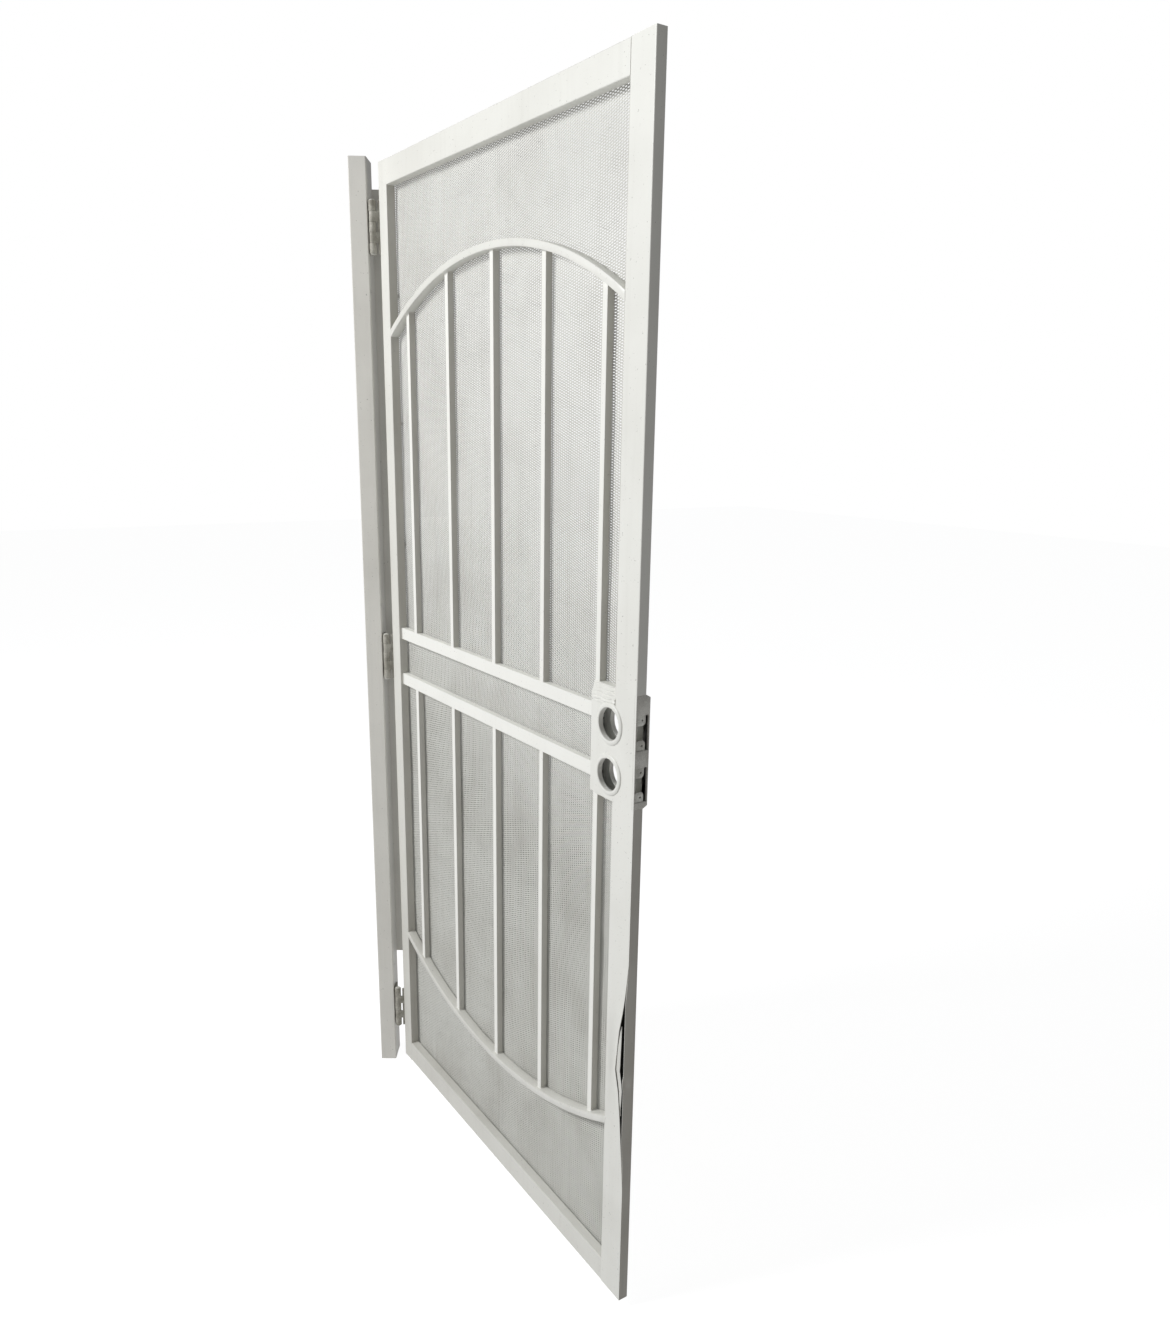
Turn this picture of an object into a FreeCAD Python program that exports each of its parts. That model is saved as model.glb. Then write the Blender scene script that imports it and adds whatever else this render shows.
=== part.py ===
import FreeCAD, Part
import math
import os
import Sketcher

# A steel security screen door: one leaf of welded tube with arched infill bars, an expanded
# metal screen and a double lock box, hung on three butt hinges from its hinge-side jamb.
#
# Frame of the part: the origin is at the foot of the jamb, in the middle of the face that goes
# against the building. +Z is up the jamb. The leaf stands open, parallel to the XZ plane, with
# its outside facing -Y and its lock edge towards +X, so the jamb is turned by the opening angle.

doc = FreeCAD.newDocument("SecurityScreenDoor")

# ---------------------------------------------------------------- driving dimensions (mm, degrees)

SIZES = [
    ("leaf_width", 914.4, "door leaf, hinge edge to lock edge"),
    ("leaf_height", 2032, "door leaf, bottom to top"),
    ("frame_depth", 19.05, "depth of the leaf's perimeter tube"),
    ("tube_wall", 1.6, "wall of the perimeter tube"),
    ("hinge_stile_width", 38.1, "face of the hinge stile"),
    ("lock_stile_width", 57.15, "face of the lock stile"),
    ("rail_height", 47.6, "face of the top and bottom rails"),
    ("face_sheet", 1.2, "front sheet of the lower lock stile"),
    ("tube_corner", 2, "outer corner radius of the perimeter tube and jamb"),
    ("bar_size", 12.7, "square infill bar and arch thickness"),
    ("bar_corner", 1, "outer corner radius of the bars, lock rails and arches"),
    ("bar_wall", 1.4, "wall of the infill bars and lock rails"),
    ("bar_recess", 6.35, "infill bars set back from the leaf's front"),
    ("first_bar_x", 109.2, "centre of the first infill bar"),
    ("bar_pitch", 172.5, "infill bar spacing"),
    ("lock_rail_height", 25.4, "face of the two rails beside the lock box"),
    ("upper_rail_middle", 1075, "upper lock rail, height of its middle"),
    ("lower_rail_middle", 972, "lower lock rail, height of its middle"),
    ("upper_arch_radius", 786.4, "upper arch, outer edge"),
    ("upper_arch_centre", 1040.5, "upper arch, height of its centre"),
    ("lower_arch_radius", 908.3, "lower arch, outer edge"),
    ("lower_arch_centre", 1145.6, "lower arch, height of its centre"),
    ("box_bottom", 939, "lock box, lower end"),
    ("box_top", 1125, "lock box, upper end"),
    ("box_back_top", 1113.5, "lock box, upper end of the part behind the frame"),
    ("box_depth", 27, "lock box, front to back"),
    ("box_sheet", 1.6, "lock box sheet"),
    ("box_shoulder", 20, "height of the sloped shoulder beside the lock stile"),
    ("box_chamfer", 4.5, "height of the slopes at the two ends of the lock box's back"),
    ("bore_backset", 69.85, "lock bores, set in from the lock edge"),
    ("bore_radius", 27, "lock bores"),
    ("deadbolt_height", 1064, "deadbolt bore, height of its centre"),
    ("latch_height", 979, "latch bore, height of its centre"),
    ("collar_radius", 35, "pressed collar round each bore"),
    ("collar_height", 3, "pressed collar, proud of its plate"),
    ("collar_rounding", 2, "rounded rim of the collar"),
    ("edge_plate_thick", 5, "lock edge plate"),
    ("mortise_width", 25.4, "faceplate recess, across the door's edge"),
    ("mortise_length", 57.2, "faceplate recess, along the door's edge"),
    ("mortise_depth", 2.8, "faceplate recess"),
    ("bolt_window", 22, "window for the bolt in each faceplate recess"),
    ("faceplate_screw_radius", 1.75, "faceplate screw holes"),
    ("faceplate_screw_pitch", 41.3, "faceplate screws, centre to centre"),
    ("pry_top", 612, "pried seam of the lock stile, upper end"),
    ("pry_middle", 466, "pried seam, height of its deepest point"),
    ("pry_bottom", 300, "pried seam, lower end"),
    ("pry_depth", 26, "pried seam, how far its edge is pushed in"),
    ("screen_sheet", 1, "expanded metal screen"),
    ("screen_edge", 27, "screen's margin, in from the leaf's edges"),
    ("screen_gap", 4, "gap between the screen's notch and the lock box"),
    ("tack_radius", 4, "tack welds that hold the screen"),
    ("tack_height", 0.9, "tack welds, proud of the screen"),
    ("jamb_width", 36.5, "jamb, face width"),
    ("jamb_depth", 60, "jamb, front to back"),
    ("jamb_wall", 1.6, "jamb wall"),
    ("jamb_height", 2060, "jamb, overall"),
    ("jamb_drop", 17, "jamb reaches below the leaf"),
    ("jamb_gap", 19, "gap between the jamb and the closed leaf"),
    ("jamb_proud", 12, "jamb's front, in front of the closed leaf's front"),
    ("flange_width", 18, "jamb's rear flange"),
    ("flange_thick", 3, "jamb's rear flange"),
    ("flange_top_gap", 50, "rear flange stops short of the jamb's top"),
    ("flange_bottom_gap", 270, "rear flange stops short of the jamb's foot"),
    ("jamb_screw_radius", 3.6, "fixing screw holes through the jamb"),
    ("jamb_screw_inset", 16, "fixing screws, back from the jamb's front"),
    ("opening", 56.5, "leaf's opening angle, as modelled"),
    ("axis_left", 9, "hinge axis, left of the leaf's hinge edge"),
    ("axis_front", 11, "hinge axis, in front of the leaf's front"),
    ("barrel_radius", 7, "hinge barrel"),
    ("pin_radius", 3.175, "hinge pin"),
    ("pin_clearance", 0.05, "running clearance round the hinge pin"),
    ("pin_head_radius", 5.6, "hinge pin heads"),
    ("pin_head_height", 2.4, "hinge pin heads"),
    ("pin_head_chamfer", 1.6, "chamfer round the hinge pin heads"),
    ("pin_end_play", 0.1, "gap between each pin head and the barrel"),
    ("knuckle_pitch", 20, "length of one hinge knuckle"),
    ("knuckle_gap", 0.4, "play between neighbouring knuckles"),
    ("hinge_plate", 3, "hinge plate thickness"),
    ("hinge_reach", 30, "hinge plate, back from the axis"),
    ("tab_relief", 1, "tabs between plate and knuckles are thinner than the plate by this"),
    ("plate_start", 8.2, "hinge plate clears the other leaf's knuckles"),
    ("cap_sheet", 1.6, "end caps of the tubes"),
]

HINGE_MIDDLES = {"bottom": 130, "middle": 1016, "top": 1911}
JAMB_SCREW_HEIGHTS = (237, 1133, 1790)
BAR_NUMBERS = (1, 2, 3, 4, 5)
LAST_BAR = BAR_NUMBERS[-1]
KNUCKLES = 5

sheet = doc.addObject("Spreadsheet::Sheet", "Sizes")
for row, (alias, value, meaning) in enumerate(SIZES, start=1):
    sheet.set(f"A{row}", meaning)
    sheet.set(f"B{row}", str(value))
    sheet.setAlias(f"B{row}", alias)
doc.recompute()


def size(alias):
    """A driving dimension's value."""
    return float(sheet.get(alias))


# ---------------------------------------------------------------- where the jamb and leaf stand

hinge_from_jamb = FreeCAD.Vector(
    size("jamb_width") / 2 + size("jamb_gap") - size("axis_left"),
    size("jamb_proud") - size("axis_front") - size("jamb_depth"),
    0,
)
JAMB_TURN = FreeCAD.Rotation(FreeCAD.Vector(0, 0, 1), size("opening"))
HINGE_AXIS = JAMB_TURN.multVec(hinge_from_jamb)
LEAF_ORIGIN = HINGE_AXIS + FreeCAD.Vector(size("axis_left"), size("axis_front"), size("jamb_drop"))

ON_LEAF = FreeCAD.Placement(LEAF_ORIGIN, FreeCAD.Rotation())
ON_JAMB = FreeCAD.Placement(FreeCAD.Vector(0, 0, 0), JAMB_TURN)


def on_hinge(height, turned):
    """Placement of a hinge piece whose own origin is on the hinge axis, at the barrel's foot."""
    foot = HINGE_AXIS + FreeCAD.Vector(0, 0, size("jamb_drop") + height)
    return FreeCAD.Placement(foot, JAMB_TURN if turned else FreeCAD.Rotation())


# ---------------------------------------------------------------- helpers for sketches and bodies

subparts = []
ORIGIN = -1
POINT = 1


def keep(part, label, place):
    """Name a finished sub-part, stand it in its place and list it for export."""
    part.Label = label
    part.Placement = place
    subparts.append(part)
    return part


def add_loop(sketch, corners):
    """Closed outline of straight edges. Each corner is a pair of sheet expressions."""
    count = len(corners)
    first = sketch.GeometryCount
    start = []
    for i in range(count):
        turn = 2 * math.pi * (i + 0.5) / count
        start.append(FreeCAD.Vector(10 * math.cos(turn), 10 * math.sin(turn), 0))
    for i in range(count):
        sketch.addGeometry(Part.LineSegment(start[i], start[(i + 1) % count]), False)
    for i in range(count):
        sketch.addConstraint(Sketcher.Constraint("Coincident", first + i, 2, first + (i + 1) % count, 1))
        across = sketch.addConstraint(
            Sketcher.Constraint("DistanceX", ORIGIN, POINT, first + i, 1, start[i].x)
        )
        sketch.setExpression(f"Constraints[{across}]", corners[i][0])
        along = sketch.addConstraint(
            Sketcher.Constraint("DistanceY", ORIGIN, POINT, first + i, 1, start[i].y)
        )
        sketch.setExpression(f"Constraints[{along}]", corners[i][1])


def add_rectangle(sketch, low_x, low_y, high_x, high_y):
    """Rectangle between two corners given as sheet expressions."""
    add_loop(sketch, [(low_x, low_y), (high_x, low_y), (high_x, high_y), (low_x, high_y)])


def add_circle(sketch, centre_x, centre_y, radius):
    """Circle whose centre and radius are sheet expressions."""
    circle = sketch.addGeometry(Part.Circle(FreeCAD.Vector(1, 1, 0), FreeCAD.Vector(0, 0, 1), 1), False)
    across = sketch.addConstraint(Sketcher.Constraint("DistanceX", ORIGIN, POINT, circle, 3, 1))
    sketch.setExpression(f"Constraints[{across}]", centre_x)
    along = sketch.addConstraint(Sketcher.Constraint("DistanceY", ORIGIN, POINT, circle, 3, 1))
    sketch.setExpression(f"Constraints[{along}]", centre_y)
    wide = sketch.addConstraint(Sketcher.Constraint("Radius", circle, 1))
    sketch.setExpression(f"Constraints[{wide}]", radius)


def new_sketch(body, name, plane, offset):
    """Sketch on one of the body's own origin planes, moved along the plane's normal."""
    sketch = body.newObject("Sketcher::SketchObject", name)
    for feature in body.Origin.OriginFeatures:
        if feature.Role == plane:
            sketch.AttachmentSupport = (feature, [""])
    sketch.MapMode = "FlatFace"
    sketch.setExpression("AttachmentOffset.Base.z", offset)
    return sketch


def new_body(label):
    """Empty PartDesign body."""
    return doc.addObject("PartDesign::Body", label)


def pad(body, sketch, length):
    """Pad a sketch along its plane's normal by a length given as a sheet expression."""
    feature = body.newObject("PartDesign::Pad", sketch.Name + "_pad")
    feature.Profile = sketch
    feature.setExpression("Length", length)
    sketch.Visibility = False
    return feature


def pocket(body, sketch, length, reverse):
    """Cut a sketch into the body, and check that it really removed material."""
    doc.recompute()
    before = body.Shape.Volume
    feature = body.newObject("PartDesign::Pocket", sketch.Name + "_pocket")
    feature.Profile = sketch
    feature.Reversed = reverse
    if length is None:
        feature.Type = "ThroughAll"
    else:
        feature.setExpression("Length", length)
    doc.recompute()
    if body.Shape.Volume >= before - 1:
        raise RuntimeError(f"{feature.Name} cut nothing")
    return feature


def round_edges(body, feature, names, radius):
    """Round the named edges of the body's last feature."""
    rounding = body.newObject("PartDesign::Fillet", feature.Name + "_corners")
    rounding.Base = (feature, names)
    rounding.setExpression("Radius", radius)
    doc.recompute()
    return rounding


def corner_edges(shape, axis):
    """Names of the straight edges along an axis that lie on the shape's outer corners."""
    box = shape.BoundBox
    low = (box.XMin, box.YMin, box.ZMin)
    high = (box.XMax, box.YMax, box.ZMax)
    names = []
    for count, edge in enumerate(shape.Edges, start=1):
        if not isinstance(edge.Curve, Part.Line):
            continue
        if abs(edge.Curve.Direction[axis]) < 0.999:
            continue
        middle = edge.CenterOfMass
        others = [i for i in range(3) if i != axis]
        if all(min(middle[i] - low[i], high[i] - middle[i]) < 0.01 for i in others):
            names.append(f"Edge{count}")
    return names


X_AXIS = 0
Z_AXIS = 2

# Sketch axes on the origin planes. XY: X, Y, normal +Z. YZ: Y, Z, normal +X. XZ: X, Z, normal -Y.

LOCK_X = "Sizes.leaf_width - Sizes.lock_stile_width"
BACK_Y = "Sizes.frame_depth"
WALL = "Sizes.tube_wall"


def upright_tube(label, left, right, bottom, length, place):
    """Rectangular tube that stands along Z between two X limits, as deep as the frame."""
    body = new_body(label)
    sketch = new_sketch(body, label + "_section", "XY_Plane", bottom)
    add_rectangle(sketch, left, "0", right, BACK_Y)
    add_rectangle(sketch, f"{left} + {WALL}", WALL, f"{right} - {WALL}", f"{BACK_Y} - {WALL}")
    tube = pad(body, sketch, length)
    doc.recompute()
    round_edges(body, tube, corner_edges(tube.Shape, Z_AXIS), "Sizes.tube_corner")
    return keep(body, label, place)


def level_tube(label, front, back, bottom, top, wall, corner, right, place):
    """Rectangular tube that lies along X, from the hinge stile to a given X."""
    body = new_body(label)
    sketch = new_sketch(body, label + "_section", "YZ_Plane", "Sizes.hinge_stile_width")
    add_rectangle(sketch, front, bottom, back, top)
    add_rectangle(
        sketch, f"{front} + {wall}", f"{bottom} + {wall}", f"{back} - {wall}", f"{top} - {wall}"
    )
    tube = pad(body, sketch, f"{right} - Sizes.hinge_stile_width")
    doc.recompute()
    round_edges(body, tube, corner_edges(tube.Shape, X_AXIS), corner)
    return keep(body, label, place)


# ---------------------------------------------------------------- the leaf's perimeter frame

upright_tube("hinge_stile", "0", "Sizes.hinge_stile_width", "0", "Sizes.leaf_height", ON_LEAF)
upright_tube(
    "lock_stile_upper",
    LOCK_X,
    "Sizes.leaf_width",
    "Sizes.box_top",
    "Sizes.leaf_height - Sizes.box_top",
    ON_LEAF,
)
level_tube(
    "top_rail",
    "0",
    BACK_Y,
    "Sizes.leaf_height - Sizes.rail_height",
    "Sizes.leaf_height",
    WALL,
    "Sizes.tube_corner",
    LOCK_X,
    ON_LEAF,
)
level_tube(
    "bottom_rail",
    "0",
    BACK_Y,
    "0",
    "Sizes.rail_height",
    WALL,
    "Sizes.tube_corner",
    LOCK_X,
    ON_LEAF,
)


def lower_lock_stile():
    """Lower lock stile: a channel open to the front, and the front sheet whose seam was pried."""
    channel = new_body("lock_stile_lower")
    section = new_sketch(channel, "lock_stile_lower_section", "XY_Plane", "0")
    lip = "Sizes.face_sheet"
    add_loop(
        section,
        [
            (LOCK_X, lip),
            (f"{LOCK_X} + {WALL}", lip),
            (f"{LOCK_X} + {WALL}", f"{BACK_Y} - {WALL}"),
            (f"Sizes.leaf_width - {WALL}", f"{BACK_Y} - {WALL}"),
            (f"Sizes.leaf_width - {WALL}", lip),
            ("Sizes.leaf_width", lip),
            ("Sizes.leaf_width", BACK_Y),
            (LOCK_X, BACK_Y),
        ],
    )
    pad(channel, section, "Sizes.box_bottom")
    keep(channel, "lock_stile_lower", ON_LEAF)

    face = new_body("lock_stile_face")
    outline = new_sketch(face, "lock_stile_face_outline", "XZ_Plane", "-Sizes.face_sheet")
    add_loop(
        outline,
        [
            (LOCK_X, "0"),
            ("Sizes.leaf_width", "0"),
            ("Sizes.leaf_width", "Sizes.pry_bottom"),
            ("Sizes.leaf_width - Sizes.pry_depth", "Sizes.pry_middle"),
            ("Sizes.leaf_width", "Sizes.pry_top"),
            ("Sizes.leaf_width", "Sizes.box_bottom"),
            (LOCK_X, "Sizes.box_bottom"),
        ],
    )
    pad(face, outline, "Sizes.face_sheet")
    keep(face, "lock_stile_face", ON_LEAF)


lower_lock_stile()

# ---------------------------------------------------------------- arches

ARCH_MIDDLE = "(Sizes.hinge_stile_width + Sizes.leaf_width - Sizes.lock_stile_width) / 2"
ARCH_HALF = "(Sizes.leaf_width - Sizes.lock_stile_width - Sizes.hinge_stile_width) / 2"


def arch(label, centre_height, radius, side):
    """Flat bar bent to an arc between the stiles. side is 1 for an arch that rises, -1 for one
    that hangs."""
    middle = (size("hinge_stile_width") + size("leaf_width") - size("lock_stile_width")) / 2
    half = middle - size("hinge_stile_width")
    centre = FreeCAD.Vector(middle, size(centre_height), 0)
    outer = size(radius)
    inner = outer - size("bar_size")
    body = new_body(label)
    sketch = new_sketch(body, label + "_outline", "XZ_Plane", f"-{BACK_Y}")
    ends = []
    for reach in (outer, inner):
        lean = math.acos(half / reach)
        low, high = (lean, math.pi - lean) if side > 0 else (math.pi + lean, 2 * math.pi - lean)
        circle = Part.Circle(centre, FreeCAD.Vector(0, 0, 1), reach)
        ends.append(sketch.addGeometry(Part.ArcOfCircle(circle, low, high), False))
    for end in (1, 2):
        outer_end = sketch.Geometry[ends[0]].StartPoint if end == 1 else sketch.Geometry[ends[0]].EndPoint
        inner_end = sketch.Geometry[ends[1]].StartPoint if end == 1 else sketch.Geometry[ends[1]].EndPoint
        line = sketch.addGeometry(Part.LineSegment(outer_end, inner_end), False)
        sketch.addConstraint(Sketcher.Constraint("Coincident", ends[0], end, line, 1))
        sketch.addConstraint(Sketcher.Constraint("Coincident", ends[1], end, line, 2))
        sketch.addConstraint(Sketcher.Constraint("Vertical", line))
        sign = 1 if outer_end.x > middle else -1
        reach = sketch.addConstraint(
            Sketcher.Constraint("DistanceX", ORIGIN, POINT, line, 1, middle + sign * half)
        )
        sketch.setExpression(f"Constraints[{reach}]", f"{ARCH_MIDDLE} + {sign} * {ARCH_HALF}")
    sketch.addConstraint(Sketcher.Constraint("Coincident", ends[0], 3, ends[1], 3))
    across = sketch.addConstraint(Sketcher.Constraint("DistanceX", ORIGIN, POINT, ends[0], 3, centre.x))
    sketch.setExpression(f"Constraints[{across}]", ARCH_MIDDLE)
    up = sketch.addConstraint(Sketcher.Constraint("DistanceY", ORIGIN, POINT, ends[0], 3, centre.y))
    sketch.setExpression(f"Constraints[{up}]", f"Sizes.{centre_height}")
    outer_radius = sketch.addConstraint(Sketcher.Constraint("Radius", ends[0], outer))
    sketch.setExpression(f"Constraints[{outer_radius}]", f"Sizes.{radius}")
    inner_radius = sketch.addConstraint(Sketcher.Constraint("Radius", ends[1], inner))
    sketch.setExpression(f"Constraints[{inner_radius}]", f"Sizes.{radius} - Sizes.bar_size")
    pad(body, sketch, BACK_Y)
    return keep(body, label, ON_LEAF)


arch("upper_arch", "upper_arch_centre", "upper_arch_radius", 1)
arch("lower_arch", "lower_arch_centre", "lower_arch_radius", -1)

# ---------------------------------------------------------------- lock rails and infill bars

BOX_LEFT = f"(Sizes.first_bar_x + {LAST_BAR - 1} * Sizes.bar_pitch - Sizes.bar_size / 2)"
BAR_BACK = "Sizes.bar_recess + Sizes.bar_size"

for label, middle in (("upper_lock_rail", "upper_rail_middle"), ("lower_lock_rail", "lower_rail_middle")):
    level_tube(
        label,
        "Sizes.bar_recess",
        BAR_BACK,
        f"Sizes.{middle} - Sizes.lock_rail_height / 2",
        f"Sizes.{middle} + Sizes.lock_rail_height / 2",
        "Sizes.bar_wall",
        "Sizes.bar_corner",
        BOX_LEFT,
        ON_LEAF,
    )


def arch_inner_height(centre, radius, side, x):
    """Height of an arch's inner edge above a given X, as a sheet expression."""
    reach = f"(Sizes.{radius} - Sizes.bar_size)"
    return f"Sizes.{centre} {'+' if side > 0 else '-'} sqrt({reach} ^ 2 - ({x} - {ARCH_MIDDLE}) ^ 2)"


def infill_bar(label, number, side):
    """Square tube between a lock rail, or the lock box, and an arch, its end mitred to the arch."""
    left = f"Sizes.first_bar_x + {number - 1} * Sizes.bar_pitch - Sizes.bar_size / 2"
    right = f"Sizes.first_bar_x + {number - 1} * Sizes.bar_pitch + Sizes.bar_size / 2"
    if side > 0:
        seat = "Sizes.box_top" if number == LAST_BAR else "Sizes.upper_rail_middle + Sizes.lock_rail_height / 2"
        arc = ("upper_arch_centre", "upper_arch_radius", side)
    else:
        seat = "Sizes.box_bottom" if number == LAST_BAR else "Sizes.lower_rail_middle - Sizes.lock_rail_height / 2"
        arc = ("lower_arch_centre", "lower_arch_radius", side)
    body = new_body(label)
    outline = new_sketch(body, label + "_outline", "XZ_Plane", f"-({BAR_BACK})")
    add_loop(
        outline,
        [
            (left, seat),
            (right, seat),
            (right, arch_inner_height(*arc, right)),
            (left, arch_inner_height(*arc, left)),
        ],
    )
    solid = pad(body, outline, "Sizes.bar_size")
    doc.recompute()
    round_edges(body, solid, corner_edges(solid.Shape, Z_AXIS), "Sizes.bar_corner")
    hollow = new_sketch(body, label + "_hollow", "XY_Plane", seat)
    add_rectangle(
        hollow,
        f"{left} + Sizes.bar_wall",
        "Sizes.bar_recess + Sizes.bar_wall",
        f"{right} - Sizes.bar_wall",
        f"{BAR_BACK} - Sizes.bar_wall",
    )
    pocket(body, hollow, None, side > 0)
    return keep(body, label, ON_LEAF)


for number in BAR_NUMBERS:
    infill_bar(f"upper_bar_{number}", number, 1)
for number in BAR_NUMBERS:
    infill_bar(f"lower_bar_{number}", number, -1)

# ---------------------------------------------------------------- lock box

EDGE_X = "Sizes.leaf_width - Sizes.edge_plate_thick"
BORE_X = "Sizes.leaf_width - Sizes.bore_backset"
BOX_SHEET = "Sizes.box_sheet"
BORE_HEIGHTS = {"deadbolt": "Sizes.deadbolt_height", "latch": "Sizes.latch_height"}


SHOULDER_FOOT = "Sizes.box_top - Sizes.box_shoulder"
BOX_BACK_OUTLINE = [
    (BACK_Y, "Sizes.box_bottom"),
    ("Sizes.box_depth", "Sizes.box_bottom + Sizes.box_chamfer"),
    ("Sizes.box_depth", "Sizes.box_back_top - Sizes.box_chamfer"),
    (BACK_Y, "Sizes.box_back_top"),
    (BACK_Y, "Sizes.box_top"),
]


def bent_sheet(sketch, line, shift):
    """Outline of a sheet that follows a line, the sheet's other side moved along Y."""
    other_side = [(f"{across} {shift} {BOX_SHEET}", up) for across, up in reversed(line)]
    add_loop(sketch, line + other_side)


def cut_bores(body, label, plane_offset):
    """Cut both lock bores through a plate of the lock box."""
    bores = new_sketch(body, label + "_bores", "XZ_Plane", plane_offset)
    for height in BORE_HEIGHTS.values():
        add_circle(bores, BORE_X, height, "Sizes.bore_radius")
    pocket(body, bores, None, False)


def lock_box_front_plate():
    """Front plate, flush with the lock stile; beside the stile it stops at the shoulder's foot."""
    body = new_body("lock_box_front_plate")
    outline = new_sketch(body, "lock_box_front_plate_outline", "XZ_Plane", f"-{BOX_SHEET}")
    add_loop(
        outline,
        [
            (BOX_LEFT, "Sizes.box_bottom"),
            (EDGE_X, "Sizes.box_bottom"),
            (EDGE_X, "Sizes.box_top"),
            (LOCK_X, "Sizes.box_top"),
            (LOCK_X, SHOULDER_FOOT),
            (BOX_LEFT, SHOULDER_FOOT),
        ],
    )
    pad(body, outline, BOX_SHEET)
    cut_bores(body, "lock_box_front_plate", "0")
    return keep(body, "lock_box_front_plate", ON_LEAF)


def lock_box_back_plate():
    """Back plate, bent out behind the frame with a slope at each end."""
    body = new_body("lock_box_back_plate")
    outline = new_sketch(body, "lock_box_back_plate_outline", "YZ_Plane", BOX_LEFT)
    bent_sheet(outline, BOX_BACK_OUTLINE, "-")
    pad(body, outline, f"{EDGE_X} - {BOX_LEFT}")
    cut_bores(body, "lock_box_back_plate", "0")
    return keep(body, "lock_box_back_plate", ON_LEAF)


def lock_box_shoulder():
    """Sloped sheet from the bars' front to the box's front, and the web that closes its end."""
    body = new_body("lock_box_shoulder")
    slope = [("0", SHOULDER_FOOT), ("Sizes.bar_recess", "Sizes.box_top")]
    outline = new_sketch(body, "lock_box_shoulder_outline", "YZ_Plane", BOX_LEFT)
    bent_sheet(outline, slope, "+")
    pad(body, outline, f"{LOCK_X} - {BOX_LEFT}")
    web = new_sketch(body, "lock_box_shoulder_web", "YZ_Plane", LOCK_X)
    add_loop(
        web,
        [
            (BOX_SHEET, SHOULDER_FOOT),
            (f"Sizes.bar_recess + {BOX_SHEET}", "Sizes.box_top"),
            (BOX_SHEET, "Sizes.box_top"),
        ],
    )
    pad(body, web, BOX_SHEET)
    return keep(body, "lock_box_shoulder", ON_LEAF)


def lock_box_wall():
    """Folded wall that closes the lock box above, below and on the side away from the edge."""
    body = new_body("lock_box_wall")
    back = [(f"{across} - {BOX_SHEET}", up) for across, up in BOX_BACK_OUTLINE]
    front = [
        (f"Sizes.bar_recess + {BOX_SHEET}", "Sizes.box_top"),
        (BOX_SHEET, SHOULDER_FOOT),
        (BOX_SHEET, "Sizes.box_bottom"),
    ]
    side = new_sketch(body, "lock_box_wall_side", "YZ_Plane", BOX_LEFT)
    add_loop(side, back + front)
    pad(body, side, BOX_SHEET)
    inside_back = f"{BACK_Y} - {BOX_SHEET}"
    for name, inside_front, low in (
        ("top", f"Sizes.bar_recess + {BOX_SHEET}", f"Sizes.box_top - {BOX_SHEET}"),
        ("bottom", BOX_SHEET, "Sizes.box_bottom"),
    ):
        end = new_sketch(body, f"lock_box_wall_{name}", "YZ_Plane", BOX_LEFT)
        add_rectangle(end, inside_front, low, inside_back, f"{low} + {BOX_SHEET}")
        pad(body, end, f"{EDGE_X} - {BOX_LEFT}")
    return keep(body, "lock_box_wall", ON_LEAF)


lock_box_front_plate()
lock_box_back_plate()
lock_box_shoulder()
lock_box_wall()


def lock_edge_plate():
    """Edge plate with a recess, a bolt window and two screw holes for each lock's faceplate."""
    body = new_body("lock_edge_plate")
    outline = new_sketch(body, "lock_edge_plate_outline", "YZ_Plane", EDGE_X)
    add_loop(outline, [("0", "Sizes.box_bottom")] + BOX_BACK_OUTLINE + [("0", "Sizes.box_top")])
    pad(body, outline, "Sizes.edge_plate_thick")
    middle = "Sizes.box_depth / 2"
    recess = new_sketch(body, "lock_edge_plate_recess", "YZ_Plane", "Sizes.leaf_width")
    windows = new_sketch(body, "lock_edge_plate_windows", "YZ_Plane", "Sizes.leaf_width")
    for height in BORE_HEIGHTS.values():
        add_rectangle(
            recess,
            f"{middle} - Sizes.mortise_width / 2",
            f"{height} - Sizes.mortise_length / 2",
            f"{middle} + Sizes.mortise_width / 2",
            f"{height} + Sizes.mortise_length / 2",
        )
        add_rectangle(
            windows,
            f"{middle} - Sizes.bolt_window / 2",
            f"{height} - Sizes.bolt_window / 2",
            f"{middle} + Sizes.bolt_window / 2",
            f"{height} + Sizes.bolt_window / 2",
        )
        for way in ("+", "-"):
            add_circle(
                windows,
                middle,
                f"{height} {way} Sizes.faceplate_screw_pitch / 2",
                "Sizes.faceplate_screw_radius",
            )
    pocket(body, recess, "Sizes.mortise_depth", False)
    pocket(body, windows, None, False)
    return keep(body, "lock_edge_plate", ON_LEAF)


lock_edge_plate()


def bore_collar(label, height, front):
    """Pressed ring with a rounded rim that trims one lock bore on one side of the door."""
    body = new_body(label)
    profile = new_sketch(body, label + "_profile", "XY_Plane", "0")
    tip = "-Sizes.collar_height" if front else "Sizes.collar_height"
    rim = "-Sizes.collar_height + Sizes.collar_rounding"
    if not front:
        rim = "Sizes.collar_height - Sizes.collar_rounding"
    add_loop(
        profile,
        [
            ("Sizes.bore_radius", "0"),
            ("Sizes.collar_radius", "0"),
            ("Sizes.collar_radius", rim),
            ("Sizes.collar_radius - Sizes.collar_rounding", tip),
            ("Sizes.bore_radius", tip),
        ],
    )
    turn = body.newObject("PartDesign::Revolution", label + "_turn")
    turn.Profile = profile
    turn.ReferenceAxis = (profile, ["V_Axis"])
    turn.Angle = 360
    face_y = 0 if front else size("box_depth")
    centre = FreeCAD.Vector(size("leaf_width") - size("bore_backset"), face_y, size(height))
    return keep(body, label, FreeCAD.Placement(LEAF_ORIGIN + centre, FreeCAD.Rotation()))


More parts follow.
